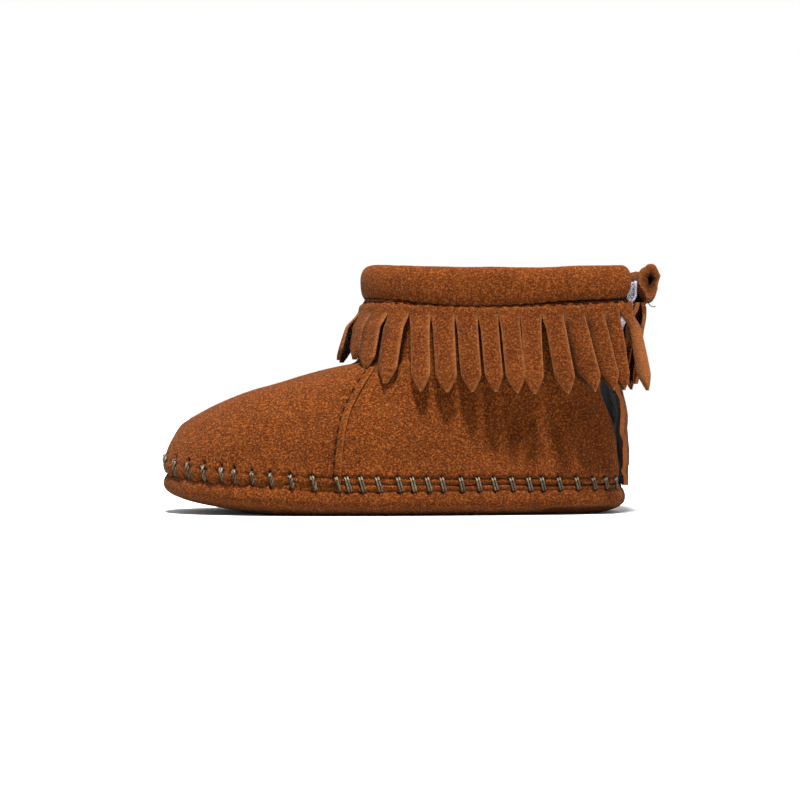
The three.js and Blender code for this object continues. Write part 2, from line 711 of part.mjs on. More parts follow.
const boot = new THREE.Group();
boot.add(
  piece("sole", soleGeometry(), "bottom"),
  piece("insole", insoleGeometry(), "padding"),
  piece("upper", upperGeometry(), "suede"),
  piece("collar_roll", collarRollGeometry(), "suede"),
  piece("collar_fringe", collarFringeGeometry(), "fringe"),
  piece("heel_flap", flapGeometry(), "suede"),
  piece("flap_roll", flapRollGeometry(), "suede"),
  piece("flap_fringe", flapFringeGeometry(), "fringe"),
  piece("patch_near", quarterPatchGeometry(-1), "pile"),
  piece("patch_far", quarterPatchGeometry(1), "pile"),
  piece("flap_patch", flapPatchGeometry(), "pile"),
);

// The origin lies under the middle of the boot's box
const box = new THREE.Box3().setFromObject(boot);
boot.position.set(-(box.min.x + box.max.x) / 2, -(box.min.y + box.max.y) / 2, 0);

export default boot;
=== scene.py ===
import math

import bmesh
import bpy
import mathutils
import numpy as np
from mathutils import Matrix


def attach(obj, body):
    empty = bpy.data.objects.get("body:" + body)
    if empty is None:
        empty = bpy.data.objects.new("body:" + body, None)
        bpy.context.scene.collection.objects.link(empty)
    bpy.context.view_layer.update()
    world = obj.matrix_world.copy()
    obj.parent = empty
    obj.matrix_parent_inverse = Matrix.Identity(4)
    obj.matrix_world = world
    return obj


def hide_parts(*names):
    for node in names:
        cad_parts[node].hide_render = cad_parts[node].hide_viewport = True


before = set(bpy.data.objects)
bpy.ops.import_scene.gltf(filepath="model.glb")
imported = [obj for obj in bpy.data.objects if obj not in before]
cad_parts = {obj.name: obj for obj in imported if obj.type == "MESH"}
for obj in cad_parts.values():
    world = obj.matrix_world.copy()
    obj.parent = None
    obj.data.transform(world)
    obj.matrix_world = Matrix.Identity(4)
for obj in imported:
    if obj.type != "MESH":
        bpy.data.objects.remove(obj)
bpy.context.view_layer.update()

# Lengths are millimetres in the part's own frame: toe end of the seam at x = 0, floor at z = 0,
# near side towards -Y. Points turn into metres, moved to the frame's origin, when a mesh is made.
MM = 0.001
ORIGIN_X = 63.108

# Driving sizes of the boot, the same as in the part's source
SOLE_LENGTH = 117.8
BALL_WIDTH = 54
HEEL_WIDTH = 43
SEAM_HEIGHT = 7.6
TOE_SEAM_HEIGHT = 10.4
TOE_SPRING = 4.2
SPRING_RUN = 34
VAMP_LENGTH = 49.2
INSTEP_HEIGHT = 38
COLLAR_HEIGHT = 54.6
COLLAR_SAG = 1.4
COLLAR_WIDTH = 43
UPPER_WALL = 1.8
VAMP_LAP = 0.8
SOLE_WALL = 2
SOLE_PAD = 4.2
SOLE_PLUMP = 1.3
INSOLE_THICKNESS = 2.6
ROLL_HEIGHT = 8.6
ROLL_THICKNESS = 6
ROLL_FULLNESS = 0.85
FRINGE_LENGTH = 22.6
FLAP_FRINGE_LENGTH = 20.4
FRINGE_THICKNESS = 1.1
BAND_SLOPE = 0.16
STRIP_PITCH = 5.35
STRIP_GAP = 0.5
FLAP_TOP = 53.4
FLAP_THICKNESS = 1.6
FLAP_TOP_WIDTH = 34
FLAP_ROLL_THICKNESS = 4.6
FLAP_ROLL_SETBACK = 2.4
FLAP_ROLL_BORE = 2.2
PATCH_REACH = 0.72
PATCH_LENGTH = 12
PATCH_HEIGHT = 11
PATCH_BOTTOM = 33.4
GAP = 0.3
TOE_SQUARENESS = 2.45
COLLAR_SQUARENESS = 2.15
HEEL_SQUARENESS = 3
SIDE_CURL = 1.15
FRONT_CURL = 0.62
FLAP_HANG = -0.1
FRONT_LENGTH = 0.68


def table(names, *rows):
    """Columns of a table by name, as arrays"""
    return dict(zip(names.split(), np.array(rows, float).T))


UPPER = table(
    "front up back rise ball heel shaft drop",
    (0.028, 0.0, 0.997, 0.0, 0.96, 0.975, 0, 8),
    (0.016, 0.085, 1.003, 0.06, 0.985, 1.0, 0, 6),
    (0.024, 0.19, 1.003, 0.145, 0.975, 0.99, 0, 4),
    (0.052, 0.295, 1.001, 0.24, 0.95, 0.98, 0, 3),
    (0.1, 0.42, 0.999, 0.33, 0.9, 0.965, 0, 2),
    (0.18, 0.515, 0.996, 0.405, 0.85, 0.955, 0, 1.5),
    (0.29, 0.612, 0.994, 0.47, 0.805, 0.95, 0.05, 1),
    (0.448, 0.717, 0.995, 0.54, 0.77, 0.95, 0.1, 1),
    (0.606, 0.802, 0.997, 0.6, 0.75, 0.95, 0.2, 1),
    (0.776, 0.892, 1.001, 0.66, 0.74, 0.955, 0.35, 1),
    (0.915, 0.957, 1.007, 0.72, 0.735, 0.965, 0.5, 1),
    (1.01, 1.01, 1.013, 0.765, 0.735, 0.975, 0.65, 1),
    (1.036, 1.2, 1.021, 0.82, 0.75, 0.98, 0.78, 1),
    (1.052, 1.45, 1.033, 0.88, 0.76, 0.99, 0.88, 1),
    (1.062, 1.73, 1.049, 0.94, 0.78, 1.0, 0.95, 1),
    (1.07, 2.0, 1.065, 1.0, 0.8, 1.0, 1, 1),
)
LAP_LINE = table(
    "up along",
    (0.0, 0.935),
    (0.2, 0.94),
    (0.385, 0.96),
    (0.52, 1.008),
    (0.7, 1.125),
    (0.85, 1.18),
    (1.0, 1.21),
)
REAR_LINE = table(
    "up along",
    (0, 0.987),
    (0.25, 0.987),
    (0.34, 0.986),
    (0.4, 0.980),
    (0.455, 0.970),
    (0.52, 0.956),
    (0.58, 0.948),
    (0.64, 0.951),
    (0.82, 0.97),
    (1, 1.006),
)
RIM = table(
    "up out",
    (1.0, 0.0),
    (0.82, 0.65),
    (0.58, 1.0),
    (0.34, 0.7),
    (0.15, -0.65),
    (0.04, -2.5),
    (0.0, -4.6),
)
FLAP = table(
    "up back half bow",
    (0, 1.009, 0.53, 0.2),
    (0.11, 1.017, 0.58, 0.5),
    (0.26, 1.016, 0.66, 0.8),
    (0.4, 1.014, 0.72, 0.9),
    (0.46, 1.007, 0.74, 0.9),
    (0.53, 1.001, 0.77, 0.9),
    (0.65, 1.005, 0.83, 0.8),
    (0.78, 1.014, 0.9, 0.7),
    (0.9, 1.026, 0.96, 0.6),
    (1, 1.038, 1, 0.6),
)
# Strips of the near side, rear to front: how far each leans towards the heel and how soon, how far it
# stands off, how far it turns on itself (positive lifts its rear edge), how much it cups and how far
# its front edge goes under the strip before it, which also sets the painted shadow on that edge
HANGS = table(
    "lean bend stand turn cup under",
    (0.2, 0.5, 0.16, 0.3, 0.5, 0.3),
    (0.08, 0.9, 0.14, 0.42, 0.3, 1.3),
    (0.165, 1.1, 0.17, 0.42, 0.4, 1.6),
    (0.2, 1.2, 0.17, 0.38, 0.3, 1.6),
    (0.165, 1.2, 0.16, 0.3, 0.35, 0.0),
    (0.045, 1.4, 0.14, 0.02, 0.2, 0.0),
    (0.085, 1.3, 0.15, 0.05, 0.3, 0.0),
    (0.08, 1.3, 0.15, -0.03, 0.25, 0.0),
    (0.085, 1.3, 0.15, 0.06, 0.3, 0.0),
    (0.12, 1.3, 0.15, 0.04, 0.2, 0.0),
    (0.19, 1.2, 0.17, 0.1, 0.3, 0.0),
    (-0.05, 1.3, 0.2, 0.2, 0.4, 0.5),
    (-0.06, 1.3, 0.25, 0.3, 0.4, 0.9),
)
# How far the five strips across the front stand off
FRONT_STANDS = [0.32, 0.24, 0.4, 0.5, 0.38]
# Slits between the strips, as lengths along the collar from its front, and how far below its edge
# they begin
SLITS = [73.4, 69.3, 64.5, 59.2, 53.8, 48.4, 43.1, 38.1, 32.4, 26.4, 20.8, 15.3, 9.6, 3.2]
SLIT_TOP = 2.4
# The roll over the fringe's band: how far it hangs, where along the boot most and over what reach,
# and how far the band goes in under it, with what comes on top of that across the front
HEM = 0.95
HEM_FULLEST = 80
HEM_REACH = 20
TUCK = 0.4
FRONT_TUCK = 0.75


def hem(x):
    """How far the roll hangs over the fringe's band, at a place along the collar"""
    return HEM * (0.25 + 0.75 * bell(x - HEM_FULLEST, HEM_REACH))


def smoothstep(x, low, high):
    t = np.clip((np.asarray(x, float) - low) / (high - low), 0, 1)
    return t * t * (3 - 2 * t)


def tuck(x, fall):
    """How far the top of the fringe's band goes in under the roll, most of all across the front"""
    across_front = 1 - smoothstep(x, 55, 68)
    return (TUCK + FRONT_TUCK * across_front) * (1 - smoothstep(fall, 0, 1.6))


def lerp(a, b, t):
    return a + (b - a) * t


def curve_at(columns, name, index):
    """Smooth curve through a column, at a row index that may lie between rows"""
    values = columns[name]
    last = len(values) - 1
    index = np.asarray(index, float)
    row = np.clip(np.floor(index).astype(int), 0, last - 1)
    f = index - row
    a, b = values[np.clip(row - 1, 0, last)], values[row]
    c, d = values[row + 1], values[np.clip(row + 2, 0, last)]
    return (
        b * (1 + 2 * f) * (1 - f) ** 2
        + (c - a) / 2 * f * (1 - f) ** 2
        + c * f * f * (3 - 2 * f)
        + (d - b) / 2 * f * f * (f - 1)
    )


def index_of(columns, name, value):
    return np.interp(value, columns[name], np.arange(len(columns[name])))


def along(columns, up):
    return curve_at(columns, "along", index_of(columns, "up", up))


def lap_x(z):
    return along(LAP_LINE, z / COLLAR_HEIGHT) * VAMP_LENGTH


def rear_x(z):
    return along(REAR_LINE, z / COLLAR_HEIGHT) * SOLE_LENGTH


def section(index):
    """One closed section of the upper, as its ends, widths and shape"""
    row = {name: float(curve_at(UPPER, name, index)) for name in UPPER}
    up, shaft = row["up"], row["shaft"]
    low = up <= 1
    return {
        "front_x": row["front"] * VAMP_LENGTH,
        "back_x": row["back"] * SOLE_LENGTH,
        "front_z": lerp(TOE_SEAM_HEIGHT, INSTEP_HEIGHT, up)
        if low
        else lerp(INSTEP_HEIGHT, COLLAR_HEIGHT, up - 1),
        "back_z": lerp(SEAM_HEIGHT, COLLAR_HEIGHT, row["rise"]),
        "ball": lerp(row["ball"] * BALL_WIDTH / 2, COLLAR_WIDTH / 2, shaft),
        "heel": lerp(row["heel"] * HEEL_WIDTH / 2, COLLAR_WIDTH / 2, shaft),
        "drop": row["drop"],
        "sag": COLLAR_SAG * max(0, up - 1),
        "toe_power": lerp(TOE_SQUARENESS, COLLAR_SQUARENESS, shaft),
    }


def section_points(sec, share, sign):
    """Points of a section at shares of its length, on the side given by sign"""
    s = np.clip(share, 0, 1)
    from_middle = np.abs(2 * s - 1)
    power = np.where(s < 0.5, sec["toe_power"], HEEL_SQUARENESS)
    roundness = np.maximum(0, 1 - from_middle**power) ** (1 / power)
    width = lerp(sec["ball"], sec["heel"], smoothstep(s, 0.3, 0.85))
    x = lerp(sec["front_x"], sec["back_x"], s)
    y = sign * width * roundness
    z = (
        sec["back_z"]
        + (sec["front_z"] - sec["back_z"]) * (1 - s) ** sec["drop"]
        - sec["sag"] * 4 * s * (1 - s)
    )
    return np.stack(np.broadcast_arrays(x, y, z), -1)


def arc_table(sec, low, high):
    """Shares between two shares, and the length along the section at each"""
    share = lerp(low, high, (1 - np.cos(np.linspace(0, math.pi, 241))) / 2)
    steps = np.linalg.norm(np.diff(section_points(sec, share, 1), axis=0), axis=1)
    return share, np.concatenate([[0], np.cumsum(steps)])


def share_at_line(sec, line_x):
    share = 0.5
    for _ in range(12):
        z = section_points(sec, share, 1)[2]
        share = (line_x(z) - sec["front_x"]) / (sec["back_x"] - sec["front_x"])
    return float(np.clip(share, 0.02, 0.999))


def underside_z(x):
    return TOE_SPRING * np.maximum(0, 1 - np.maximum(x, 0) / SPRING_RUN) ** 1.6


# The seam's length from the toe to the vamp's rear edge, to the quarter's and to the heel
SEAM = section(0)
SEAM_SHARES, SEAM_ARCS = arc_table(SEAM, 0, 1)
ARC_LAP = float(np.interp(share_at_line(SEAM, lap_x), SEAM_SHARES, SEAM_ARCS))
ARC_REAR = float(np.interp(share_at_line(SEAM, rear_x), SEAM_SHARES, SEAM_ARCS))
ARC_HEEL = float(SEAM_ARCS[-1])


def signed_section(sec, low, high, fractions, sides):
    """Points of a section at fractions of its arc between two shares, on the sides given by signs"""
    share, arc = arc_table(sec, low, high)
    at = np.interp(np.abs(fractions) * arc[-1], arc, share)
    return section_points(sec, at, sides)


def unit(v):
    return v / np.maximum(np.linalg.norm(v, axis=-1, keepdims=True), 1e-9)


def grid_normals(p, centre=(60, 0, 20)):
    """Unit normals of a grid of points, turned away from a centre inside the boot"""
    n = unit(np.cross(np.gradient(p, axis=1), np.gradient(p, axis=0)))
    return n if np.sum(n * (p - np.array(centre))) > 0 else -n


def heights(p):
    """Length up each column of a grid from its first row"""
    steps = np.linalg.norm(np.diff(p, axis=0), axis=-1)
    return np.concatenate([np.zeros((1, p.shape[1])), np.cumsum(steps, axis=0)])


def noise(p, size, seed):
    """Smooth noise from -1 to 1 at points, with lumps of about the given size"""
    q = np.asarray(p, float) / size + seed * 17.31
    cell = np.floor(q).astype(np.int64)
    f = q - cell
    f = f * f * (3 - 2 * f)
    total = np.zeros(q.shape[:-1])
    for corner in range(8):
        bits = np.array([corner & 1, corner >> 1 & 1, corner >> 2 & 1])
        c = (cell + bits) & 0xFFFF
        h = (c[..., 0] * 73856093) ^ (c[..., 1] * 19349663) ^ (c[..., 2] * 83492791)
        h = (h ^ (h >> 13)) * 1274126177 & 0xFFFFFFFF
        value = ((h ^ (h >> 16)) & 0xFFFF) / 32767.5 - 1
        total += value * np.prod(np.where(bits == 1, f, 1 - f), axis=-1)
    return total


def bell(x, width):
    return np.exp(-((x / width) ** 2))


# Whipstitches along the seam, as lengths from the toe: the near side's are uneven, as sewn by hand
NEAR_STITCHES = [
    2.4, 7.2, 12.9, 17.8, 22.6, 27.5, 30.8, 35.3, 39.9, 44.8, 50.1, 56.0, 58.5, 62.0, 66.2,
    71.4, 74.9, 78.7, 82.4, 87.2, 91.5, 95.6, 100.1, 104.5, 107.9, 112.3, 117.1, 121.7, 125.5, 129.6,
]
FAR_STITCHES = [2.4 + 4.39 * k + 0.5 * math.sin(2.3 * k) for k in range(30)]
STITCHES = np.array([-a for a in reversed(NEAR_STITCHES)] + FAR_STITCHES)
# Along the seam from the toe: where the stitch's upper and lower ends lie, measured from the seam,
# how tall the puffs of leather between the stitches are, how far they swell, how marked (dented and
# painted with shade) the fold over them and the seam's line are, and the depth and strength of a
# lower groove in the sole's rim, which is painted with shade too
SEAM_WORK = table(
    "arc top foot puff swell fold line low under",
    (0, 5.0, 0.2, 3.6, 0.5, 0.1, 1.0, 1.3, 0.0),
    (12, 4.7, 0.2, 3.5, 1.0, 0.1, 1.0, 1.3, 0.0),
    (24, 4.3, 0.0, 3.3, 1.35, 0.1, 1.0, 1.3, 0.0),
    (34, 3.6, -0.6, 3.0, 1.25, 0.2, 0.9, 1.3, 0.1),
    (44, 2.9, -1.2, 2.6, 0.95, 0.6, 0.5, 1.4, 0.6),
    (58, 2.3, -1.9, 2.1, 0.6, 1.0, 0.15, 1.7, 1.1),
    (90, 2.2, -1.6, 1.9, 0.5, 1.0, 0.4, 1.5, 0.9),
    (131, 2.1, -1.2, 1.8, 0.5, 1.0, 0.9, 1.2, 0.8),
)
# Columns of the seam's grids are no closer together than this
NEAREST_COLUMNS = 0.17


def seam_work(name, arc):
    return np.interp(np.abs(arc), SEAM_WORK["arc"], SEAM_WORK[name])


def between_stitches(arc):
    """0 at a stitch and 1 halfway to the next, and the distance to the nearest stitch"""
    k = np.clip(np.searchsorted(STITCHES, arc), 1, len(STITCHES) - 1)
    left, right = STITCHES[k - 1], STITCHES[k]
    share = np.clip((arc - left) / (right - left), 0, 1)
    return np.sin(math.pi * share), np.minimum(np.abs(arc - left), np.abs(right - arc))


def clustered(low, high):
    """Places along the seam from low to high, closer together at the stitches"""
    around = np.array([-1.35, -0.85, -0.5, -0.25, 0, 0.25, 0.5, 0.85, 1.35])
    halfway = (STITCHES[1:] + STITCHES[:-1]) / 2
    evenly = np.arange(low, high, 2.1)
    places = np.concatenate([[low, high], (STITCHES[:, None] + around).ravel(), halfway, evenly])
    places = np.sort(places[(places >= low) & (places <= high)])
    kept = [places[0]]
    for p in places[1:]:
        if p - kept[-1] > NEAREST_COLUMNS:
            kept.append(p)
    kept[-1] = high
    return np.array(kept)


# Rows up the wall: close together in the seam's puffs, wider above
ROWS = np.concatenate([np.arange(0, 3, 0.1), np.arange(3, 15.01, 0.2)])
SECTIONS = [section(t) for t in ROWS]


def wall(low_line, high_line, fractions, sides, underlap=0.0):
    """Grid on the wall's outer face, with columns at fractions of the way between two lines, and its
    normals, heights up its columns and lengths along its rows"""
    rows = []
    for sec in SECTIONS:
        high = share_at_line(sec, high_line)
        length = sec["back_x"] - sec["front_x"]
        low = 0 if low_line is None else share_at_line(sec, low_line) - underlap / length
        rows.append(signed_section(sec, low, high, fractions, sides))
    p = np.array(rows)
    return p, grid_normals(p), heights(p), heights(p.transpose(1, 0, 2)).T


class Shell:
    """One piece's points, faces and marks, gathered part by part"""

    def __init__(self):
        self.points, self.faces, self.edge, self.painted_shade = [], [], [], []
        self.count = 0

    def add(self, points, faces, edge=0.0, painted_shade=0.0):
        points = np.asarray(points, float).reshape(-1, 3)
        self.points.append(points)
        self.faces.append(np.asarray(faces) + self.count)
        self.edge.append(np.broadcast_to(np.asarray(edge, float).reshape(-1), len(points)))
        self.painted_shade.append(np.broadcast_to(np.asarray(painted_shade, float).reshape(-1), len(points)))
        self.count += len(points)

    def make(self, name, material, slot, *replaced, sharp=50):
        points = (np.concatenate(self.points) - [ORIGIN_X, 0, 0]) * MM
        faces = [face for part in self.faces for face in part.tolist()]
        mesh = bpy.data.meshes.new(name)
        mesh.from_pydata(points.tolist(), [], faces)
        work = bmesh.new()
        work.from_mesh(mesh)
        bmesh.ops.recalc_face_normals(work, faces=work.faces)
        work.to_mesh(mesh)
        work.free()
        for mark in ("edge", "painted_shade"):
            values = np.concatenate(getattr(self, mark)).astype(np.float32)
            mesh.attributes.new(mark, "FLOAT", "POINT").data.foreach_set("value", values)
        mesh.polygons.foreach_set("use_smooth", np.ones(len(mesh.polygons), bool))
        if sharp:
            mesh.set_sharp_from_angle(angle=math.radians(sharp))
        mesh.materials.append(material)
        piece = bpy.data.objects.new(name, mesh)
        bpy.context.scene.collection.objects.link(piece)
        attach(piece, "root")
        if replaced:
            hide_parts(*replaced)
        return piece


def grid_faces(rows, columns, wrap=False):
    i, j = np.meshgrid(np.arange(rows - 1), np.arange(columns - (not wrap)), indexing="ij")
    k = (j + 1) % columns
    quads = [i * columns + j, i * columns + k, (i + 1) * columns + k, (i + 1) * columns + j]
    return np.stack(quads, -1).reshape(-1, 4)


def sheet_faces(rows, columns):
    """Faces of a closed sheet: an outer grid, an inner grid after it, and the rim between them"""
    outer = grid_faces(rows, columns)
    size = rows * columns
    at = np.arange(size).reshape(rows, columns)
    loop = np.concatenate([at[0, :-1], at[:-1, -1], at[-1, :0:-1], at[:0:-1, 0]])
    after = np.roll(loop, -1)
    rim = np.stack([after, loop, loop + size, after + size], -1)
    return np.concatenate([outer, outer[:, ::-1] + size, rim])


def ladder(a, b):
    """Quads between two rows of point numbers, or between two stacks of rows"""
    return np.stack([a[..., :-1], a[..., 1:], b[..., 1:], b[..., :-1]], -1).reshape(-1, 4).tolist()


def add_sheet(shell, outer, inner, edge=0.0, painted_shade=0.0):
    rows, columns = outer.shape[:2]
    marks = [np.broadcast_to(m, (2, rows, columns)) for m in (edge, painted_shade)]
    shell.add(np.stack([outer, inner]), sheet_faces(rows, columns), *marks)


def add_tube(shell, path, radius, sides, lobes, turns, edge=0.0, painted_shade=0.0, up=(0, 0, 1)):
    """A tube along a path, tapered at both ends, with plies that turn as often as turns says"""
    path = np.asarray(path, float)
    count, first = len(path), shell.count
    ahead = unit(np.gradient(path, axis=0))
    side = unit(np.cross(ahead, np.broadcast_to(np.asarray(up, float), path.shape)))
    top = np.cross(side, ahead)
    taper = np.ones((count, 1))
    taper[[0, -1]] = 0.45
    angle = np.linspace(0, 2 * math.pi, sides, endpoint=False)[None, :]
    spin = 2 * math.pi * turns * np.linspace(0, 1, count)[:, None]
    r = radius * taper * (1 + lobes * np.cos(2 * (angle - spin)))
    sideways = side[:, None] * (r * np.cos(angle))[..., None]
    ring = path[:, None] + sideways + top[:, None] * (r * np.sin(angle))[..., None]
    shell.add(ring, grid_faces(count, sides, wrap=True), edge, painted_shade)
    for base in (first, shell.count - sides):
        # quads side by side close each end
        left = base + np.arange(sides // 2 - 1)
        right = 2 * base + sides - 1 - left
        shell.faces.append(np.stack([left, left + 1, right - 1, right], -1))


def smooth_path(points, count):
    """A smooth line through points, with the given number of places"""
    columns = {str(k): np.asarray(points, float)[:, k] for k in range(3)}
    index = np.linspace(0, len(points) - 1, count)
    return np.stack([curve_at(columns, str(k), index) for k in range(3)], -1)


def new_material(name):
    material = bpy.data.materials.new(name)
    material.use_nodes = True
    tree = material.node_tree
    shader = tree.nodes["Principled BSDF"]
    return material, tree, shader


def noise_at(tree, scale, detail=2.0, rough=0.5, stretch=None):
    """Noise in the boot's own space, with scale in lumps a metre"""
    place = tree.nodes.new("ShaderNodeTexCoord").outputs["Object"]
    if stretch:
        mapping = tree.nodes.new("ShaderNodeMapping")
        mapping.inputs["Scale"].default_value = stretch
        tree.links.new(place, mapping.inputs["Vector"])
        place = mapping.outputs["Vector"]
    made = tree.nodes.new("ShaderNodeTexNoise")
    made.inputs["Scale"].default_value = scale
    made.inputs["Detail"].default_value = detail
    made.inputs["Roughness"].default_value = rough
    tree.links.new(place, made.inputs["Vector"])
    return made.outputs["Fac"]


def remap(tree, value, low, high, to_low, to_high):
    made = tree.nodes.new("ShaderNodeMapRange")
    numbers = {"From Min": low, "From Max": high, "To Min": to_low, "To Max": to_high}
    for name, number in numbers.items():
        made.inputs[name].default_value = number
    tree.links.new(value, made.inputs["Value"])
    return made.outputs["Result"]


def blend(tree, factor, a, b):
    made = tree.nodes.new("ShaderNodeMix")
    made.data_type = "RGBA"
    for socket, value in ((0, factor), (6, a), (7, b)):
        if isinstance(value, (tuple, list)):
            made.inputs[socket].default_value = (*value, 1)
        elif isinstance(value, (int, float)):
            made.inputs[socket].default_value = value
        else:
            tree.links.new(value, made.inputs[socket])
    return made.outputs[2]


def mark(tree, name):
    made = tree.nodes.new("ShaderNodeAttribute")
    made.attribute_name = name
    return made.outputs["Fac"]


def bump(tree, height, strength, distance, after=None):
    made = tree.nodes.new("ShaderNodeBump")
    made.inputs["Strength"].default_value = strength
    made.inputs["Distance"].default_value = distance
    tree.links.new(height, made.inputs["Height"])
    if after is not None:
        tree.links.new(after, made.inputs["Normal"])
    return made.outputs["Normal"]


def dress(tree, shader, colour, rough, specular, sheen, *bumps, sheen_rough=0.5):
    """Links a colour, a roughness given as remap takes it, gloss, sheen and bumps to the shader"""
    tree.links.new(colour, shader.inputs["Base Color"])
    tree.links.new(remap(tree, *rough), shader.inputs["Roughness"])
    shader.inputs["Specular IOR Level"].default_value = specular
    shader.inputs["Sheen Weight"].default_value = sheen
    shader.inputs["Sheen Roughness"].default_value = sheen_rough
    normal = None
    for height, strength, distance in bumps:
        normal = bump(tree, height, strength, distance, normal)
    tree.links.new(normal, shader.inputs["Normal"])


def suede(name, deep, mid, light, cut, nap=1.0):
    """Napped leather: flecked fibres, brushed patches, paler cut edges and painted light on marked
    strips, and painted shade in marked grooves, holes and tucks
    """
    material, tree, shader = new_material(name)
    fleck = noise_at(tree, 3300, 2.0, 0.6)
    grain = noise_at(tree, 1900, 2.0, 0.55)
    brushed = noise_at(tree, 260, 3.0, 0.6, (1, 1, 0.5))
    patch = noise_at(tree, 38, 2.0, 0.5)
    colour = blend(tree, remap(tree, fleck, 0.42, 0.6, 0, 1), deep, mid)
    colour = blend(tree, remap(tree, grain, 0.49, 0.66, 0, 0.8), colour, light)
    colour = blend(tree, remap(tree, brushed, 0.44, 0.66, 0, 0.12), colour, light)
    colour = blend(tree, remap(tree, patch, 0.42, 0.66, 0, 0.18), colour, deep)
    # the edge mark pales cut edges and paints light on the rearmost fringe strips; the next mark
    # paints shade in grooves, holes and tucks
    colour = blend(tree, mark(tree, "edge"), colour, cut)
    colour = blend(tree, mark(tree, "painted_shade"), colour, tuple(0.22 * c for c in deep))
    bumps = (grain, 0.7 * nap, 0.0007), (fleck, 0.9 * nap, 0.0005)
    dress(tree, shader, colour, (fleck, 0.3, 0.7, 0.98, 0.82), 0.03, 0.045, *bumps, sheen_rough=0.45)
    shader.inputs["Sheen Tint"].default_value = (1.0, 0.58, 0.32, 1)
    return material


def cloth(name, dark, pale, scale, lumps, sheen):
    """Napped cloth or pile: fine fibres over soft lumps"""
    material, tree, shader = new_material(name)
    fibre = noise_at(tree, scale, 3.0, 0.65)
    lump = noise_at(tree, lumps, 2.0, 0.5)
    colour = blend(tree, remap(tree, fibre, 0.35, 0.65, 0, 1), dark, pale)
    colour = blend(tree, remap(tree, lump, 0.4, 0.65, 0, 0.4), colour, dark)
    # painted shade, where a piece marks it
    colour = blend(tree, mark(tree, "painted_shade"), colour, tuple(0.4 * c for c in dark))
    bumps = (lump, 0.4, 0.0005), (fibre, 0.6, 0.0002)
    dress(tree, shader, colour, (lump, 0.3, 0.7, 0.95, 0.83), 0.2, sheen, *bumps)
    return material


def yarn(name, dark, mid, light, gloss, sheen):
    """Waxed thread: plies shaded by noise drawn out along the stitch, with painted highlight and
    painted shade where marked
    """
    material, tree, shader = new_material(name)
    ply = noise_at(tree, 2600, 2.0, 0.5, (1, 1, 0.5))
    tone = noise_at(tree, 240, 2.0, 0.5)
    colour = blend(tree, remap(tree, ply, 0.35, 0.62, 0, 1), dark, mid)
    colour = blend(tree, remap(tree, tone, 0.5, 0.7, 0, 0.2), colour, light)
    # the edge mark paints a highlight near each whipstitch's top; the next mark paints shade where a
    # stitch goes into its hole
    colour = blend(tree, mark(tree, "edge"), colour, light)
    colour = blend(tree, mark(tree, "painted_shade"), colour, tuple(0.25 * c for c in dark))
    dress(tree, shader, colour, (ply, 0.3, 0.7, 0.75, 0.5), gloss, sheen, (ply, 0.5, 0.0001))
    return material


# Colours of the leathers: deep in the nap, middle, light, and on cut edges
SUEDE = suede(
    "suede_upper", (0.024, 0.00484, 0.000628), (0.0735, 0.0168, 0.00226), (0.157, 0.042, 0.00704),
    (0.147, 0.042, 0.00911),
)
SUEDE_SOLE = suede(
    "suede_bottom", (0.0268, 0.0054, 0.00074), (0.0773, 0.0176, 0.00252), (0.153, 0.042, 0.0074),
    (0.134, 0.039, 0.00888),
)
SUEDE_ROLL = suede(
    "suede_roll", (0.0295, 0.0059, 0.0008), (0.0774, 0.0177, 0.00262), (0.147, 0.0405, 0.00741),
    (0.132, 0.0383, 0.00872), nap=0.8,
)
SUEDE_FRINGE = suede(
    "suede_fringe", (0.0255, 0.0052, 0.000776), (0.0686, 0.016, 0.00251), (0.13, 0.0363, 0.00704),
    (0.171, 0.0604, 0.0192), nap=0.8,
)
SUEDE_FLAP = suede(
    "suede_flap", (0.0251, 0.00521, 0.000763), (0.0695, 0.0162, 0.00257), (0.148, 0.0408, 0.00798),
    (0.163, 0.0492, 0.0132),
)
# Dark and pale of the cloths, with lumps a metre of their fibre and weave, and sheen
# The lining's near-black colours are painted shade: a pale cloth coloured as it looks shadowed inside
# the boot
LINING_PAINTED_SHADE = cloth("lining_cloth", (0.0025, 0.0025, 0.0036), (0.0095, 0.0095, 0.013), 1700, 240, 0.02)
PADDING = cloth("pad_cloth", (0.15, 0.142, 0.142), (0.3, 0.285, 0.28), 1500, 180, 0.3)
PILE = cloth("pile_fibres", (0.15, 0.128, 0.155), (0.32, 0.285, 0.325), 2100, 420, 0.2)
# Dark, middle and light of the threads, gloss and sheen
THREAD = yarn(
    "thread_olive", (0.011, 0.008, 0.0042), (0.045, 0.034, 0.0175), (0.26, 0.215, 0.14), 0.12, 0.02
)
# brown thread coloured near black: the thread's own brown with the painted shade of the pits it sinks
# into
THREAD_BROWN_PAINTED_SHADE = yarn(
    "thread_brown", (0.004, 0.0015, 0.0007), (0.012, 0.0045, 0.002), (0.035, 0.014, 0.006), 0.0, 0.0
)


def soft(p):
    """Soft unevenness of the leather, the same for every layer at a place"""
    return 0.3 * noise(p, 15, 1) + 0.13 * noise(p, 5.5, 2)


def skin(p):
    """Fine unevenness of a leather's face"""
    return 0.035 * noise(p, 1.7, 3) + 0.02 * noise(p, 0.8, 4)


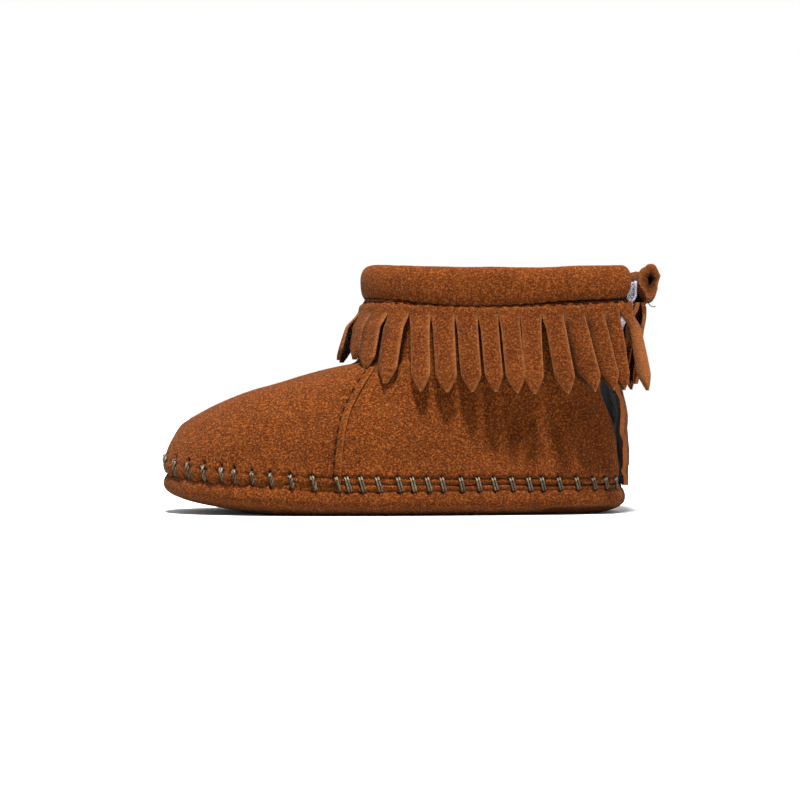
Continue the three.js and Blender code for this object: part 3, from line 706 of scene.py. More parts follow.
def seam_relief(arc, h):
    """Swelling of the upper's edge between the stitches, and painted shade in its holes, along its
    groove, in the fold over the puffs and between the puffs
    """
    between, near = between_stitches(arc)
    top, puff, swell, fold, line = (seam_work(n, arc) for n in "top puff swell fold line".split())
    inside = 1 - smoothstep(h, puff - 0.05, puff + 0.25)
    rounded = 1 - 0.85 * (2 * np.clip(h / puff, 0, 1) - 1) ** 2
    pillow = np.sqrt(np.clip(rounded - 0.95 * (1 - between**2), 0, 1)) * inside
    above = smoothstep(h, puff - 0.3, puff) * (1 - smoothstep(h, puff, puff + 2.2))
    relief = swell * np.maximum(pillow, 0.39 * between * above)
    relief -= 0.45 * line * bell(h, 0.3) + 0.34 * fold * bell(h - puff, 0.35)
    relief -= 0.8 * bell(h - top, 0.42) * bell(near, 0.36)
    # painted shade in the stitch holes, along the seam's line, patchily in the fold over the puffs,
    # and between the puffs
    fold_shade_patches = 0.55 + 0.45 * noise(np.stack(np.broadcast_arrays(arc, h, 0.0), -1), 1.6, 9)
    painted_shade = bell(h - top, 0.36) * bell(near, 0.33) + 0.7 * line * bell(h - 0.1, 0.22)
    painted_shade += 0.65 * fold * bell(h - puff, 0.2) * fold_shade_patches
    painted_shade += 0.42 * inside * (1 - smoothstep(pillow, 0.1, 0.55))
    return relief, np.clip(painted_shade, 0, 1)


def seam_dip(arcs):
    """How far the toe's seam sags between its stitches"""
    between, _ = between_stitches(arcs)
    return 0.5 * between * (1 - smoothstep(np.abs(arcs), 38, 56)) * smoothstep(np.abs(arcs), 1, 9)


# Creases and hollows, in the side view: place, half length, half width, turn in degrees and
# depth
NEAR_CREASES = table(
    "x z long wide turn depth",
    (96, 25, 13, 6.5, -8, -1.0),
    (86, 10.6, 24, 2.8, 0, 0.6),
    (84, 19, 7, 3.2, 35, -0.5),
    (91.5, 17.5, 5.5, 2.4, 62, 0.55),
    (98, 18, 5, 2.2, 75, -0.5),
    (103, 17.5, 6, 3, 70, 0.5),
    (72, 26, 9, 3.5, 70, -0.35),
    (62, 18, 10, 4, 80, 0.3),
    (110, 14, 5, 2.5, 20, -0.3),
    (36, 22, 12, 3.5, 28, -0.25),
    (22, 18, 9, 3, 40, 0.2),
    (46, 28, 6, 2, 60, -0.25),
)
FAR_CREASES = table(
    "x z long wide turn depth",
    (92, 24, 12, 6, 5, -1.0),
    (80, 18, 8, 3, 30, 0.5),
    (101, 17, 6, 3, 65, 0.5),
    (68, 24, 9, 3.5, 75, -0.4),
    (34, 20, 11, 3.5, 30, -0.3),
    (48, 27, 6, 2, 65, -0.25),
)


def crease_relief(p):
    total = np.zeros(p.shape[:-1])
    for rows, side in ((NEAR_CREASES, -1), (FAR_CREASES, 1)):
        share = smoothstep(side * p[..., 1], 3, 12)
        for x, z, long, wide, turn, depth in zip(*(rows[n] for n in rows)):
            c, s = math.cos(math.radians(turn)), math.sin(math.radians(turn))
            dx, dz = p[..., 0] - x, p[..., 2] - z
            total += share * depth * bell(c * dx + s * dz, long) * bell(c * dz - s * dx, wide)
    return total


LAP_STITCH_IN = 1.9
LAP_STITCH_PITCH = 2.9
ROLL_STITCH_PITCH = 2.7
# How far the quarter runs on under the vamp, its leather's thickness, and how deep in the wall the
# lining's outer face lies
UNDERLAP = 3.5
QUARTER_SKIN = 0.95
LINING_DEPTH = 1.02


def vamp():
    arcs = clustered(-ARC_LAP, ARC_LAP)
    p, n, h, across = wall(None, lap_x, arcs / ARC_LAP, np.sign(arcs))
    inward = np.minimum(across, across[:, -1:] - across)
    relief, painted_shade = seam_relief(arcs[None, :], h)
    stitched = smoothstep(h, 1.5, 3.5)
    between_dashes = 1 - np.abs((h / LAP_STITCH_PITCH) % 1 - 0.5) * 2
    relief *= smoothstep(inward, 0.1, 0.9)
    relief -= stitched * (0.26 + 0.2 * between_dashes) * bell(inward - LAP_STITCH_IN, 0.38)
    relief += stitched * 0.12 * bell(inward - 0.9, 0.5) - 0.2 * bell(inward, 0.22)
    relief += crease_relief(p) + skin(p)
    body = soft(p)
    edge = 0.85 * bell(inward, 0.4) * (0.65 + 0.35 * noise(p, 0.9, 5))
    # painted shade where the lap stitches pull into the leather
    painted_shade = np.maximum(painted_shade, stitched * 0.55 * between_dashes * bell(inward - LAP_STITCH_IN, 0.25))
    wavy = 0.16 * noise(p, 1.8, 6) * bell(inward, 0.8)
    outer = p + n * (VAMP_LAP + body + relief + wavy)[..., None]
    inner = p + n * (0.04 + body + np.minimum(relief, 0) * 0.6 + wavy * 0.8)[..., None]
    inner[:2] = lerp(outer[:2], inner[:2], 0.55)
    for face in (outer, inner):
        face[..., 2] -= seam_dip(arcs) * bell(h, 0.9)
    shell = Shell()
    add_sheet(shell, outer, inner, edge, painted_shade)
    shell.make("vamp_suede", SUEDE, "suede", "upper")
    return arcs, outer, n, inward


def quarter(side):
    start = ARC_LAP - UNDERLAP
    arcs = clustered(-ARC_REAR, -start) if side < 0 else clustered(start, ARC_REAR)
    shares = (np.abs(arcs) - start) / (ARC_REAR - start)
    p, n, h, across = wall(lap_x, rear_x, shares, side, UNDERLAP)
    from_lap = across if side > 0 else across[:, -1:] - across
    to_rear = across[:, -1:] - from_lap
    relief, painted_shade = seam_relief(arcs[None, :], h)
    free = smoothstep(from_lap, 3.0, 4.6)
    relief = np.where(free < 1, np.minimum(relief, 0) * 0.3 + relief * free, relief)
    relief += (crease_relief(p) + skin(p)) * free - 0.25 * bell(to_rear, 0.3)
    relief += 0.25 * noise(p, 4, 7) * bell(to_rear, 2.5)
    body = soft(p)
    outer = p + n * (body + relief)[..., None]
    inner = p + n * (body - QUARTER_SKIN + np.minimum(relief, 0) * 0.4)[..., None]
    shell = Shell()
    add_sheet(shell, outer, inner, 0.7 * bell(to_rear, 0.45), painted_shade * free)
    shell.make("quarter_near_suede" if side < 0 else "quarter_far_suede", SUEDE, "suede", "upper")
    return arcs, outer, n


def lining():
    fractions = np.linspace(-1, 1, 181)
    rows = []
    for sec in SECTIONS[::2]:
        rear = share_at_line(sec, rear_x)
        edge_z = float(section_points(sec, rear, 1)[2])
        flap_up = np.clip((edge_z - SEAM_HEIGHT) / (FLAP_TOP - SEAM_HEIGHT), 0, 1)
        opening = flap_point(flap_up, 1)[0] - FLAP_THICKNESS - rear_x(edge_z)
        beyond = float(np.clip(opening - 0.4, 0, 3) * (1 - smoothstep(edge_z, 44, 50)))
        rear = min(rear + beyond / (sec["back_x"] - sec["front_x"]), 0.998)
        rows.append(signed_section(sec, 0, rear, fractions, np.sign(fractions)))
    p = np.array(rows)
    n = grid_normals(p)
    body = soft(p) + 0.5 * crease_relief(p)
    outer = p + n * (body - LINING_DEPTH)[..., None]
    inner = p + n * (body - UPPER_WALL + 0.05 * noise(p, 2.4, 8))[..., None]
    for face in (outer, inner):
        # the cloth's top edge goes up into the roll
        face[-1, :, 2] += 0.9
    shell = Shell()
    add_sheet(shell, outer, inner)
    piece = shell.make("lining_cloth", LINING_PAINTED_SHADE, "lining", "upper")


def seam_ring(arcs, outwards):
    """The seam's line at signed arcs, moved outwards in plan"""
    share = np.interp(np.abs(arcs), SEAM_ARCS, SEAM_SHARES)
    line = section_points(SEAM, share, np.sign(arcs))
    along_it = np.roll(line, -1, axis=0) - np.roll(line, 1, axis=0)
    out = unit(np.stack([along_it[:, 1], -along_it[:, 0], np.zeros(len(arcs))], -1))
    if np.sum(out * (line - [60, 0, 0])) < 0:
        out = -out
    return line + out * outwards


def plan_middle(line, low, high):
    """For each point of a line, the nearest on the boot's middle between two places, at the floor"""
    x = np.clip(line[:, 0], low, high)
    return np.stack([x, 0 * x, 0 * x], -1)


def wrapped_normals(p):
    across = np.roll(p, -1, axis=1) - np.roll(p, 1, axis=1)
    n = unit(np.cross(across, np.gradient(p, axis=0)))
    return n if np.sum(n * (p - np.array([60, 0, 6]))) > 0 else -n


def cap(rings, edge=0.0, painted_shade=0.0):
    """A closed form through rings of points, with a face over its first ring and its last"""
    count, columns = rings.shape[:2]
    shell = Shell()
    shell.add(rings, grid_faces(count, columns, wrap=True), edge, painted_shade)
    around = np.arange(columns)
    shell.faces += [around[None], (shell.count - 1 - around)[None]]
    return shell


def sole():
    arcs = clustered(-ARC_HEEL, ARC_HEEL)[:-1]
    line = seam_ring(arcs, 0)
    steps = np.linspace(0, 6, 40)
    heel_lift = 1.15 * smoothstep(line[:, 0], 94, 100) * (1 - smoothstep(line[:, 0], 113, 119))
    rows = []
    for t in steps:
        up, out = float(curve_at(RIM, "up", t)), float(curve_at(RIM, "out", t))
        ring = seam_ring(arcs, out * SOLE_PLUMP)
        low = underside_z(ring[:, 0]) + heel_lift * bell(out + 1.4, 1.6)
        ring[:, 2] = lerp(low, line[:, 2] - 0.03, max(up, 0))
        rows.append(ring)
    rim = np.array(rows)
    n, depth = wrapped_normals(rim), heights(rim)
    between, near = between_stitches(arcs[None, :])
    foot = -seam_work("foot", arcs[None, :])
    drawn, low, under = (seam_work(name, arcs[None, :]) for name in ("line", "low", "under"))
    # the seam's groove, the puffs with the lower groove, the fuller toe and the stitches' dents
    relief = -0.42 * drawn * bell(depth, 0.28) + 0.2 * (between - 0.35) * bell(depth - 1.5, 1.3)
    relief += 0.5 * under * between * np.sin(math.pi * np.clip(depth / low, 0, 1))
    relief -= 0.32 * under * bell(depth - low, 0.35)
    from_toe = np.abs(arcs)
    fuller = (1 - smoothstep(from_toe, 36, 60)) * lerp(0.15, 1, smoothstep(from_toe, 4, 18))
    relief += 0.95 * fuller * smoothstep(depth, -0.5, 0.6) * (1 - smoothstep(depth, 3.5, 7))
    relief += 0.55 * (1 - drawn) * bell(depth, 0.9)
    sewn = smoothstep(foot, 0.2, 0.8)
    relief -= 0.6 * bell(depth - foot, 0.45) * bell(near, 0.36) * sewn
    relief -= 0.16 * bell(near, 0.9) * bell(depth - foot - 1.2, 1.4)
    relief += 0.22 * noise(rim, 9, 11) + 0.1 * noise(rim, 3.4, 12) + skin(rim)
    relief *= 1 - smoothstep(steps, 3.6, 5.2)[:, None]
    # painted shade in the stitch holes, along the seam's line and in the lower groove
    painted_shade = 0.8 * bell(depth - foot, 0.36) * bell(near, 0.33) * sewn + 0.7 * drawn * bell(depth, 0.2)
    painted_shade += 0.6 * under * bell(depth - low, 0.2) * (0.6 + 0.4 * noise(rim, 1.6, 15))
    outer = rim + n * relief[..., None]
    outer[..., 2] = np.maximum(outer[..., 2] - seam_dip(arcs) * bell(depth, 0.9), 0.0)
    middle = plan_middle(line, 24, 96)
    inside, below = [], []
    for t in (0.8, 0.4, 0):
        ring = lerp(seam_ring(arcs, -SOLE_WALL), middle, t)
        ring[:, 2] = underside_z(ring[:, 0]) + SOLE_PAD
        inside.append(ring)
    top = seam_ring(arcs, -SOLE_WALL)
    top[:, 2] = line[:, 2] + 0.3 - seam_dip(arcs)
    for t in (0.15, 0.35, 0.6, 0.85):
        ring = lerp(rim[-1], middle, t)
        sag = 0.12 * (1 + noise(ring, 7, 13)) * math.sin(math.pi * t)
        ring[:, 2] = underside_z(ring[:, 0]) + sag
        below.append(ring)
    grid = np.concatenate([inside, [top], outer, below])
    marks = np.zeros(grid.shape[:2])
    marks[len(inside) + 1 : len(inside) + 1 + len(steps)] = np.clip(painted_shade, 0, 1)
    cap(grid, painted_shade=marks).make("sole_suede", SUEDE_SOLE, "bottom_suede", "sole")
    return arcs, outer, n


def insole():
    arcs = np.linspace(-ARC_HEEL, ARC_HEEL, 241)[:-1]
    middle = plan_middle(seam_ring(arcs, 0), 26, 94)
    rings = []
    for out, level in (
        (-3.0, 0.0), (-1.2, 0.02), (-0.3, 0.14), (0, 0.4), (-0.1, 0.72), (-0.5, 0.9), (-1.3, 0.99)
    ):
        ring = seam_ring(arcs, out - SOLE_WALL - 2 * GAP)
        ring[:, 2] = underside_z(ring[:, 0]) + SOLE_PAD + GAP + level * INSOLE_THICKNESS
        rings.append(ring)
    edge_ring = rings[-1]
    for t in (0.1, 0.22, 0.36, 0.5, 0.66, 0.85):
        ring = lerp(edge_ring, middle, t)
        dome = 0.12 * noise(ring, 12, 14) - 0.35 * smoothstep(t, 0, 0.8)
        ring[:, 2] = underside_z(ring[:, 0]) + SOLE_PAD + GAP + INSOLE_THICKNESS + dome
        rings.append(ring)
    cap(np.array(rings)).make("insole_pad", PADDING, "padding", "insole")


COLLAR = section(len(UPPER["up"]) - 1)
COLLAR_SHARES, COLLAR_ARCS = arc_table(COLLAR, 0, share_at_line(COLLAR, rear_x))
COLLAR_ARC = float(COLLAR_ARCS[-1])


def collar_line(arcs):
    """Points on the collar's edge at signed arcs, with outward and forward directions"""
    def at(moved):
        moved = np.clip(moved, -COLLAR_ARC, COLLAR_ARC)
        share = np.interp(np.abs(moved), COLLAR_ARCS, COLLAR_SHARES)
        return section_points(COLLAR, share, np.where(moved < 0, -1, 1))

    arcs = np.asarray(arcs, float)
    ahead = unit(at(arcs + 0.4) - at(arcs - 0.4))
    out = unit(np.stack([-ahead[..., 1], ahead[..., 0], 0 * arcs], -1))
    return at(arcs), out, ahead


def collar_start(x):
    """How far the fringe's inner face stands off the collar's line, over the vamp and behind it"""
    lap_end = lap_x(COLLAR["back_z"])
    return GAP + VAMP_LAP * (1 - smoothstep(x, lap_end, lap_end + STRIP_PITCH))


def oval(count):
    """Sideways and upward shares around the rolls' section, and the angle at each"""
    angle = np.linspace(0, 2 * math.pi, count, endpoint=False)
    s, c = np.sin(angle), np.cos(angle)
    return np.sign(s) * np.abs(s) ** ROLL_FULLNESS, np.sign(c) * np.abs(c) ** ROLL_FULLNESS, angle


def collar_roll():
    e = np.linspace(0, 1, 12)
    end = (1 - (1 - e) ** 3) ** 0.5 * 0.62 + 0.38
    inset = 0.5 * ROLL_THICKNESS
    body = np.linspace(-COLLAR_ARC + inset, COLLAR_ARC - inset, 262)[1:-1]
    swell = np.concatenate([end, np.ones(len(body)), end[::-1]])[:, None]
    arcs = np.concatenate([-COLLAR_ARC + inset * e, body, COLLAR_ARC - inset * e[::-1]])
    point, out, _ = collar_line(arcs)
    centre = point - out * UPPER_WALL / 2
    centre[:, 2] = point[:, 2] + GAP + ROLL_HEIGHT / 2
    side, high, angle = oval(36)
    from_end = np.minimum(arcs + COLLAR_ARC, COLLAR_ARC - arcs)[:, None]
    upwards = np.array([0, 0, 1.0])
    ring = centre[:, None] + out[:, None] * (swell * side * ROLL_THICKNESS / 2)[..., None]
    ring = ring + upwards * (swell * high * ROLL_HEIGHT / 2)[..., None]
    radial = unit(out[:, None] * side[:, None] + upwards * high[:, None])
    between_dashes = 1 - np.abs((arcs / ROLL_STITCH_PITCH) % 1 - 0.5)[:, None] * 2
    low = bell(angle - math.radians(142), 0.3) * between_dashes
    relief = 0.16 * noise(ring, 10, 21) + 0.1 * noise(ring, 4, 22) + skin(ring) - 0.3 * low
    relief -= 0.25 * bell(from_end - 4.2, 0.9) * bell(angle - 2.0, 0.8)
    ring = ring + radial * relief[..., None]
    hang = 2.3 * smoothstep(side, 0.4, 0.7) * smoothstep(-high, 0, 0.75) * smoothstep(from_end, 0, 4)
    ring[..., 2] -= hang * hem(point[:, 0])[:, None]
    # paler cut ends, and painted shade in the stitch dents under the roll
    roll = cap(ring, 0.25 * bell(from_end, 0.7) + 0 * angle, 0.35 * low)
    roll.make("collar_roll_suede", SUEDE_ROLL, "suede", "collar_roll")


# How wide a strip is down its length, and the places across it where its points lie
STRIP = table(
    "down wide",
    (0.0, 1.0),
    (0.14, 1.0),
    (0.2, 1.0),
    (0.5, 1.0),
    (0.78, 1.0),
    (0.825, 0.96),
    (0.9, 0.66),
    (0.96, 0.36),
    (1.0, 0.12),
)
ACROSS = np.array([-1, -0.94, -0.8, -0.5, -0.2, 0, 0.2, 0.5, 0.8, 0.94, 1])
BAND_ROWS = 7
STRIP_ROWS = 40


def fringe(name, frames, edges, hangs, lengths, pitches, slope, starts, hems, replaced):
    """Band and strips in one sheet. frames: point, out and ahead of each strip's middle. edges: the
    band's points and outward directions across a strip. hangs: for each strip a row of HANGS with
    curl and pale. starts and hems: the band's stand-off at x, and how far the roll hangs over it."""
    grids, edge_marks, painted_shades = [], [], []
    u = ACROSS[None, :]
    for k, (frame, hang, length, pitch) in enumerate(zip(frames, hangs, lengths, pitches)):
        point, out, ahead = frame
        below = np.linspace(0, 1, STRIP_ROWS + 1)[1:] ** 0.9 * (length - SLIT_TOP)
        fall = np.concatenate([np.linspace(0, SLIT_TOP, BAND_ROWS), SLIT_TOP + below])[:, None]
        share = fall / length
        slit = smoothstep(fall, SLIT_TOP - 0.01, SLIT_TOP + 0.9)
        narrowed = curve_at(STRIP, "wide", index_of(STRIP, "down", share))
        half = (pitch - STRIP_GAP * slit) / 2 * np.where(fall > SLIT_TOP, narrowed, 1)
        stand = hang["stand"] * length * share ** hang["curl"]
        away = hang["stand"] * fall if hang["stand"] < 0 else np.maximum(slope * fall, stand)
        sign, under = np.sign(hang["under"]), abs(hang["under"])
        wider = under * smoothstep(share, 0.06, 0.4) * (1 - smoothstep(share, 0.76, 0.96))
        across = u * half + sign * wider * np.clip(u * sign, 0, 1)
        lifted = 1.3 * hang["turn"] * across * smoothstep(share, 0.12, 1.0)
        lifted -= hang["cup"] * (u * u - 0.4) * smoothstep(share, 0.2, 1.0)
        sideways = hang["lean"] * length * share ** hang["bend"] + across
        hung = point + ahead * sideways[..., None] + out * (away + 0 * u)[..., None]
        band_point, band_out = edges(k, u + 0 * fall)
        band_x = band_point[..., 0]
        banded = band_point + band_out * (slope * fall + 0 * u)[..., None]
        free = smoothstep(fall, SLIT_TOP, SLIT_TOP + 5)
        base = lerp(banded, hung, free[..., None]) + out * lifted[..., None]
        base[..., 2] = point[2] - fall - hems(band_x) * (1 - np.clip(fall / SLIT_TOP, 0, 1))
        rounding = 1 - 0.42 * np.abs(u) ** 7 * slit
        thick = FRINGE_THICKNESS * rounding * lerp(1, 0.8, smoothstep(share, 0.9, 1.0))
        normal = lerp(band_out, out + 0 * banded, free[..., None])
        begin = starts(band_x) - tuck(band_x, fall) + 0.16 * noise(base, 6, 31) * free
        outer = base + normal * (begin + thick + 0.5 * skin(base) * slit)[..., None]
        inner = base + normal * (begin + FRINGE_THICKNESS * (1 - rounding) * 0.5)[..., None]
        grids.append((outer, inner))
        rim = np.maximum(np.abs(u) ** 9 * slit, smoothstep(share, 0.965, 1.0))
        rim = np.maximum(rim, smoothstep(share, 0.84, 0.9) * np.abs(u) ** 3)
        # painted light: the rearmost strip of each side is paled, as where it stands lit
        painted_light = hang["pale"] * smoothstep(share, 0.1, 0.4)
        edge = np.clip(np.maximum(rim * (0.75 + 0.35 * noise(base, 0.8, 32)), painted_light), 0, 1)
        edge_marks.append((edge, 0.6 * edge))
        # painted shadow: a dark band on each tucked front edge, where the strip before it casts shade
        shaded = 0.8 * smoothstep(u * sign, 0.3, 0.8) * smoothstep(share, 0.08, 0.3) * min(under, 1)
        painted_shades.append((shaded, shaded))
    points, edge, painted_shade = (np.moveaxis(np.array(part), 1, 0) for part in (grids, edge_marks, painted_shades))
    count = len(frames)
    ident = np.arange(edge.size).reshape(edge.shape)
    # strips share their edge points in the band
    for k in range(count - 1):
        ident[:, k + 1, :BAND_ROWS, 0] = ident[:, k, :BAND_ROWS, -1]
    faces = []
    for k in range(count):
        a, b = ident[0, k], ident[1, k]
        faces += ladder(a[:-1], a[1:]) + ladder(b.T[:-1], b.T[1:])
        for column, outermost in ((0, k == 0), (-1, k == count - 1)):
            first = 0 if outermost else BAND_ROWS - 1
            faces += ladder(a[first:, column], b[first:, column])
        faces += ladder(a[0], b[0]) + ladder(a[-1], b[-1])
    shell = Shell()
    shell.add(points, np.array(faces), edge, painted_shade)
    shell.make(name, SUEDE_FRINGE, "fringe_suede", replaced, sharp=60)


def collar_fringe():
    far = [s + 0.35 * math.sin(2.1 * s) for s in SLITS]
    cuts = np.array([-COLLAR_ARC] + [-s for s in SLITS] + far[::-1] + [COLLAR_ARC])
    middle, pitches = (cuts[1:] + cuts[:-1]) / 2, np.diff(cuts)
    count = len(middle)
    frames = list(zip(*collar_line(middle)))
    hangs, lengths = [], []
    for k in range(count):
        row = min(k, count - 1 - k, len(HANGS["lean"]) - 1)
        hang = {name: column[row] for name, column in HANGS.items()}
        side = -1 if k < count / 2 else 1
        forwards = -frames[k][1][0]
        facing = float(smoothstep(forwards, 0.05, 0.85))
        vary = math.sin(5.1 * k + 0.7)
        hang["lean"] = side * hang["lean"] * (1 - facing) + 0.012 * vary
        at_front = k - (count - len(FRONT_STANDS)) // 2
        if 0 <= at_front < len(FRONT_STANDS):
            hang["stand"] = FRONT_STANDS[at_front]
        else:
            hang["stand"] = lerp(hang["stand"], 0.34, facing)
        hang["curl"] = lerp(SIDE_CURL, FRONT_CURL, facing)
        hang["turn"] *= side * (1 - facing)
        hang["under"] *= -side
        # painted light on the rearmost strip of each side
        hang["pale"] = 0.45 if row == 0 else 0.0
        hangs.append(hang)
        shorter = lerp(1, FRONT_LENGTH, float(smoothstep(forwards, 0.35, 0.98)))
        lengths.append(FRINGE_LENGTH * shorter + 0.25 * vary)

    def edges(k, u):
        return collar_line(middle[k] + u * pitches[k] / 2)[:2]

    fringe(
        "collar_fringe_suede", frames, edges, hangs, lengths, pitches,
        BAND_SLOPE, collar_start, hem, "collar_fringe",
    )


def flap_point(up, side):
    index = index_of(FLAP, "up", up)
    at = {name: curve_at(FLAP, name, index) for name in FLAP}
    x = at["back"] * SOLE_LENGTH - at["bow"] * FLAP_THICKNESS * side * side
    y = side * at["half"] * FLAP_TOP_WIDTH / 2
    z = lerp(SEAM_HEIGHT, FLAP_TOP, up)
    return np.stack(np.broadcast_arrays(x, y, z), -1)


def flap():
    up = np.linspace(0, 1, 80)[:, None]
    side = np.sin(np.linspace(-1, 1, 61) * math.pi / 2)[None, :]
    base = flap_point(up + 0 * side, side + 0 * up)
    base[..., 2] -= 0.45 * (1 - smoothstep(up, 0, 0.1))
    base[..., 0] += 0.5 * bell(up, 0.05)
    at_edge = smoothstep(np.abs(side), 0.8, 1.0)
    waves = 0.5 * noise(base, 7, 41) + 0.42 * noise(base, 2.6, 42) * (0.35 + at_edge)
    waves += 0.08 * noise(base, 1.2, 43) - 1.1 * bell(base[..., 2] - 10.6, 1.1) * at_edge
    ease = smoothstep(up, 0, 0.08) * (1 - 0.6 * smoothstep(up, 0.9, 1.0))
    base[..., 0] += waves * ease
    base[..., 1] += side * 0.35 * noise(base, 4, 44) * at_edge * ease
    back = np.array([1.0, 0, 0])
    rounded = 0.25 * np.abs(side) ** 14 + 0 * up
    outer = base + back * (skin(base) - rounded)[..., None]
    turned_edge = 0.75 + 0.75 * smoothstep(np.abs(side), 0.82, 0.93) - rounded
    leather, lined = Shell(), Shell()
    edge = 0.8 * smoothstep(np.abs(side), 0.97, 1.0) + 0 * up
    add_sheet(leather, outer, base - back * turned_edge[..., None], edge)
    leather.make("heel_flap_suede", SUEDE_FLAP, "suede", "heel_flap")
    cover = base * [1, 0.88, 1]
    face = FLAP_THICKNESS + 0.06 * noise(base, 2.1, 45)
    add_sheet(lined, cover - back * 0.78, cover - back * face[..., None])
    piece = lined.make("heel_flap_lining", LINING_PAINTED_SHADE, "lining", "heel_flap")


def flap_roll_centre(side):
    point = flap_point(np.ones_like(side), side)
    point[..., 0] += FLAP_ROLL_SETBACK - FLAP_THICKNESS / 2
    point[..., 2] = FLAP_TOP + GAP + ROLL_HEIGHT / 2
    return point


def flap_roll():
    sides = 32
    side = np.linspace(-1, 1, 61)
    centre = flap_roll_centre(side)[:, None]
    across, high, angle = oval(sides)
    ends = (1 - 0.07 * np.abs(side) ** 12)[:, None, None]

    def tube(half_thick, half_high):
        return centre + np.stack([across * half_thick, 0 * across, high * half_high], -1) * ends

    # along the outside, then back along the bore
    outside = tube(FLAP_ROLL_THICKNESS / 2, ROLL_HEIGHT / 2)
    grid = np.concatenate([outside, tube(FLAP_ROLL_BORE / 4, FLAP_ROLL_BORE / 2)[::-1]])
    rows, bore = len(grid), slice(len(side), None)
    at_end = bell(np.abs(grid[..., 1]) - FLAP_TOP_WIDTH / 2, 3.0)

    def dent(turn, width):
        return bell(angle - math.radians(turn), width)

    grid[..., 0] += at_end * across * (0.9 * dent(60, 0.7) - 0.5 * dent(235, 0.6))
    grid[..., 2] += at_end * high * (0.7 * dent(25, 0.6) - 0.9 * dent(215, 0.5))
    crumple = (0.3 + 0.45 * at_end) * noise(grid, 3.2, 51) + skin(grid)
    crumple += (0.16 + 0.25 * at_end) * noise(grid, 1.5, 52)
    grid[bore] += at_end[bore, :, None] * np.array([0.5, 0, 0.9])
    crumple[bore] *= -0.35
    grid += np.stack([across, 0 * across, high], -1) * crumple[..., None]
    last = (rows - 1) * sides
    k = np.arange(sides)
    closing = np.stack([last + k, last + (k + 1) % sides, (k + 1) % sides, k], -1)
    edge, painted_shade = np.zeros((rows, sides)), np.zeros((rows, sides))
    # painted shade inside the roll's bore
    painted_shade[bore] = 0.85
    edge[[0, 1, len(side) - 2, len(side) - 1]] = 0.5
    shell = Shell()
    shell.add(grid, np.concatenate([grid_faces(rows, sides, wrap=True), closing]), edge, painted_shade)
    shell.make("flap_roll_suede", SUEDE_FLAP, "suede", "flap_roll")


def flap_fringe():
    count = round(FLAP_TOP_WIDTH / STRIP_PITCH)
    middle = 1 - (2 * np.arange(count) + 1) / count
    back, across = np.array([1.0, 0, 0]), np.array([0, -1.0, 0])
    frames = [(flap_point(np.array(1.0), np.array(m)), back, across) for m in middle]
    fixed = {"bend": 1.4, "stand": FLAP_HANG, "curl": 1.0, "cup": 0.3, "under": 0.0, "pale": 0.0}
    hangs = [
        {**fixed, "lean": 0.03 * math.sin(2.9 * k + 1), "turn": 0.22 * math.sin(4.3 * k)}
        for k in range(count)
    ]
    lengths = [FLAP_FRINGE_LENGTH + 0.3 * math.sin(3.1 * k) for k in range(count)]

    def edges(k, u):
        point = flap_point(np.ones_like(u), middle[k] - u / count)
        return point, back + 0 * point

    fringe(
        "flap_fringe_suede", frames, edges, hangs, lengths, [STRIP_PITCH] * count,
        0.0, lambda x: GAP + 0 * x, lambda x: 0 * x, "flap_fringe",
    )


def tufts(shell, points, normals, length, radius, seed):
    """Short curled fibres standing on a surface"""
    rng = np.random.default_rng(seed)
    count = len(points)
    lean = rng.normal(0, 0.45, (count, 3))
    way = unit(normals + lean)
    bend = rng.normal(0, 0.35, (count, 3)) * length
    size = length * rng.uniform(0.6, 1.25, count)[:, None]
    side = unit(np.cross(way, rng.normal(0, 1, (count, 3))))
    other = np.cross(way, side)
    rows = []
    for t, thick in ((0.0, 1.0), (0.5, 0.85), (1.0, 0.35)):
        middle = points + way * size * t + bend * t * t
        for k in range(3):
            a = 2 * math.pi * k / 3
            rows.append(middle + (side * math.cos(a) + other * math.sin(a)) * radius * thick)
    grid = np.stack(rows, 1)
    faces = []
    for i in range(2):
        for k in range(3):
            faces.append([3 * i + k, 3 * i + (k + 1) % 3, 3 * i + 3 + (k + 1) % 3, 3 * i + 3 + k])
    base = np.arange(count)[:, None, None] * 9
    shell.add(grid, (base + np.array(faces)[None]).reshape(-1, 4))
    first = shell.count - count * 9
    tips = first + np.arange(count)[:, None] * 9
    shell.faces.append(tips + np.array([6, 7, 8]))
    shell.faces.append(tips + np.array([2, 1, 0]))


def grid_sites(p, n, count, seed):
    """Random places on a grid of points, with their normals"""
    rng = np.random.default_rng(seed)
    rows, columns = p.shape[:2]
    i, j = rng.uniform(0, rows - 1.001, count), rng.uniform(0, columns - 1.001, count)
    a, b = i.astype(int), j.astype(int)
    s, t = (i - a)[:, None], (j - b)[:, None]
    at = lerp(lerp(p[a, b], p[a, b + 1], t), lerp(p[a + 1, b], p[a + 1, b + 1], t), s)
    return at, n[a, b]


def wall_point(x, z, side):
    """Point of the wall's outer face at a place given in the side view"""
    low, high = 0.0, float(len(UPPER["up"]) - 1)
    for _ in range(22):
        index = (low + high) / 2
        sec = section(index)
        share = (x - sec["front_x"]) / (sec["back_x"] - sec["front_x"])
        point = section_points(sec, share, side)
        if point[2] < z:
            low = index
        else:
            high = index
    return point


def pile_patch(name, node_name, grid, n, seat, thick, count, radius, seeds):
    """A patch seated over a grid, with its pile"""
    outer = grid + n * (seat + thick)
    shell = Shell()
    add_sheet(shell, outer, grid + n * seat)
    tufts(shell, *grid_sites(outer, n, count, seeds[0]), thick, radius, seeds[1])
    shell.make(name, PILE, "pile", node_name, sharp=None)


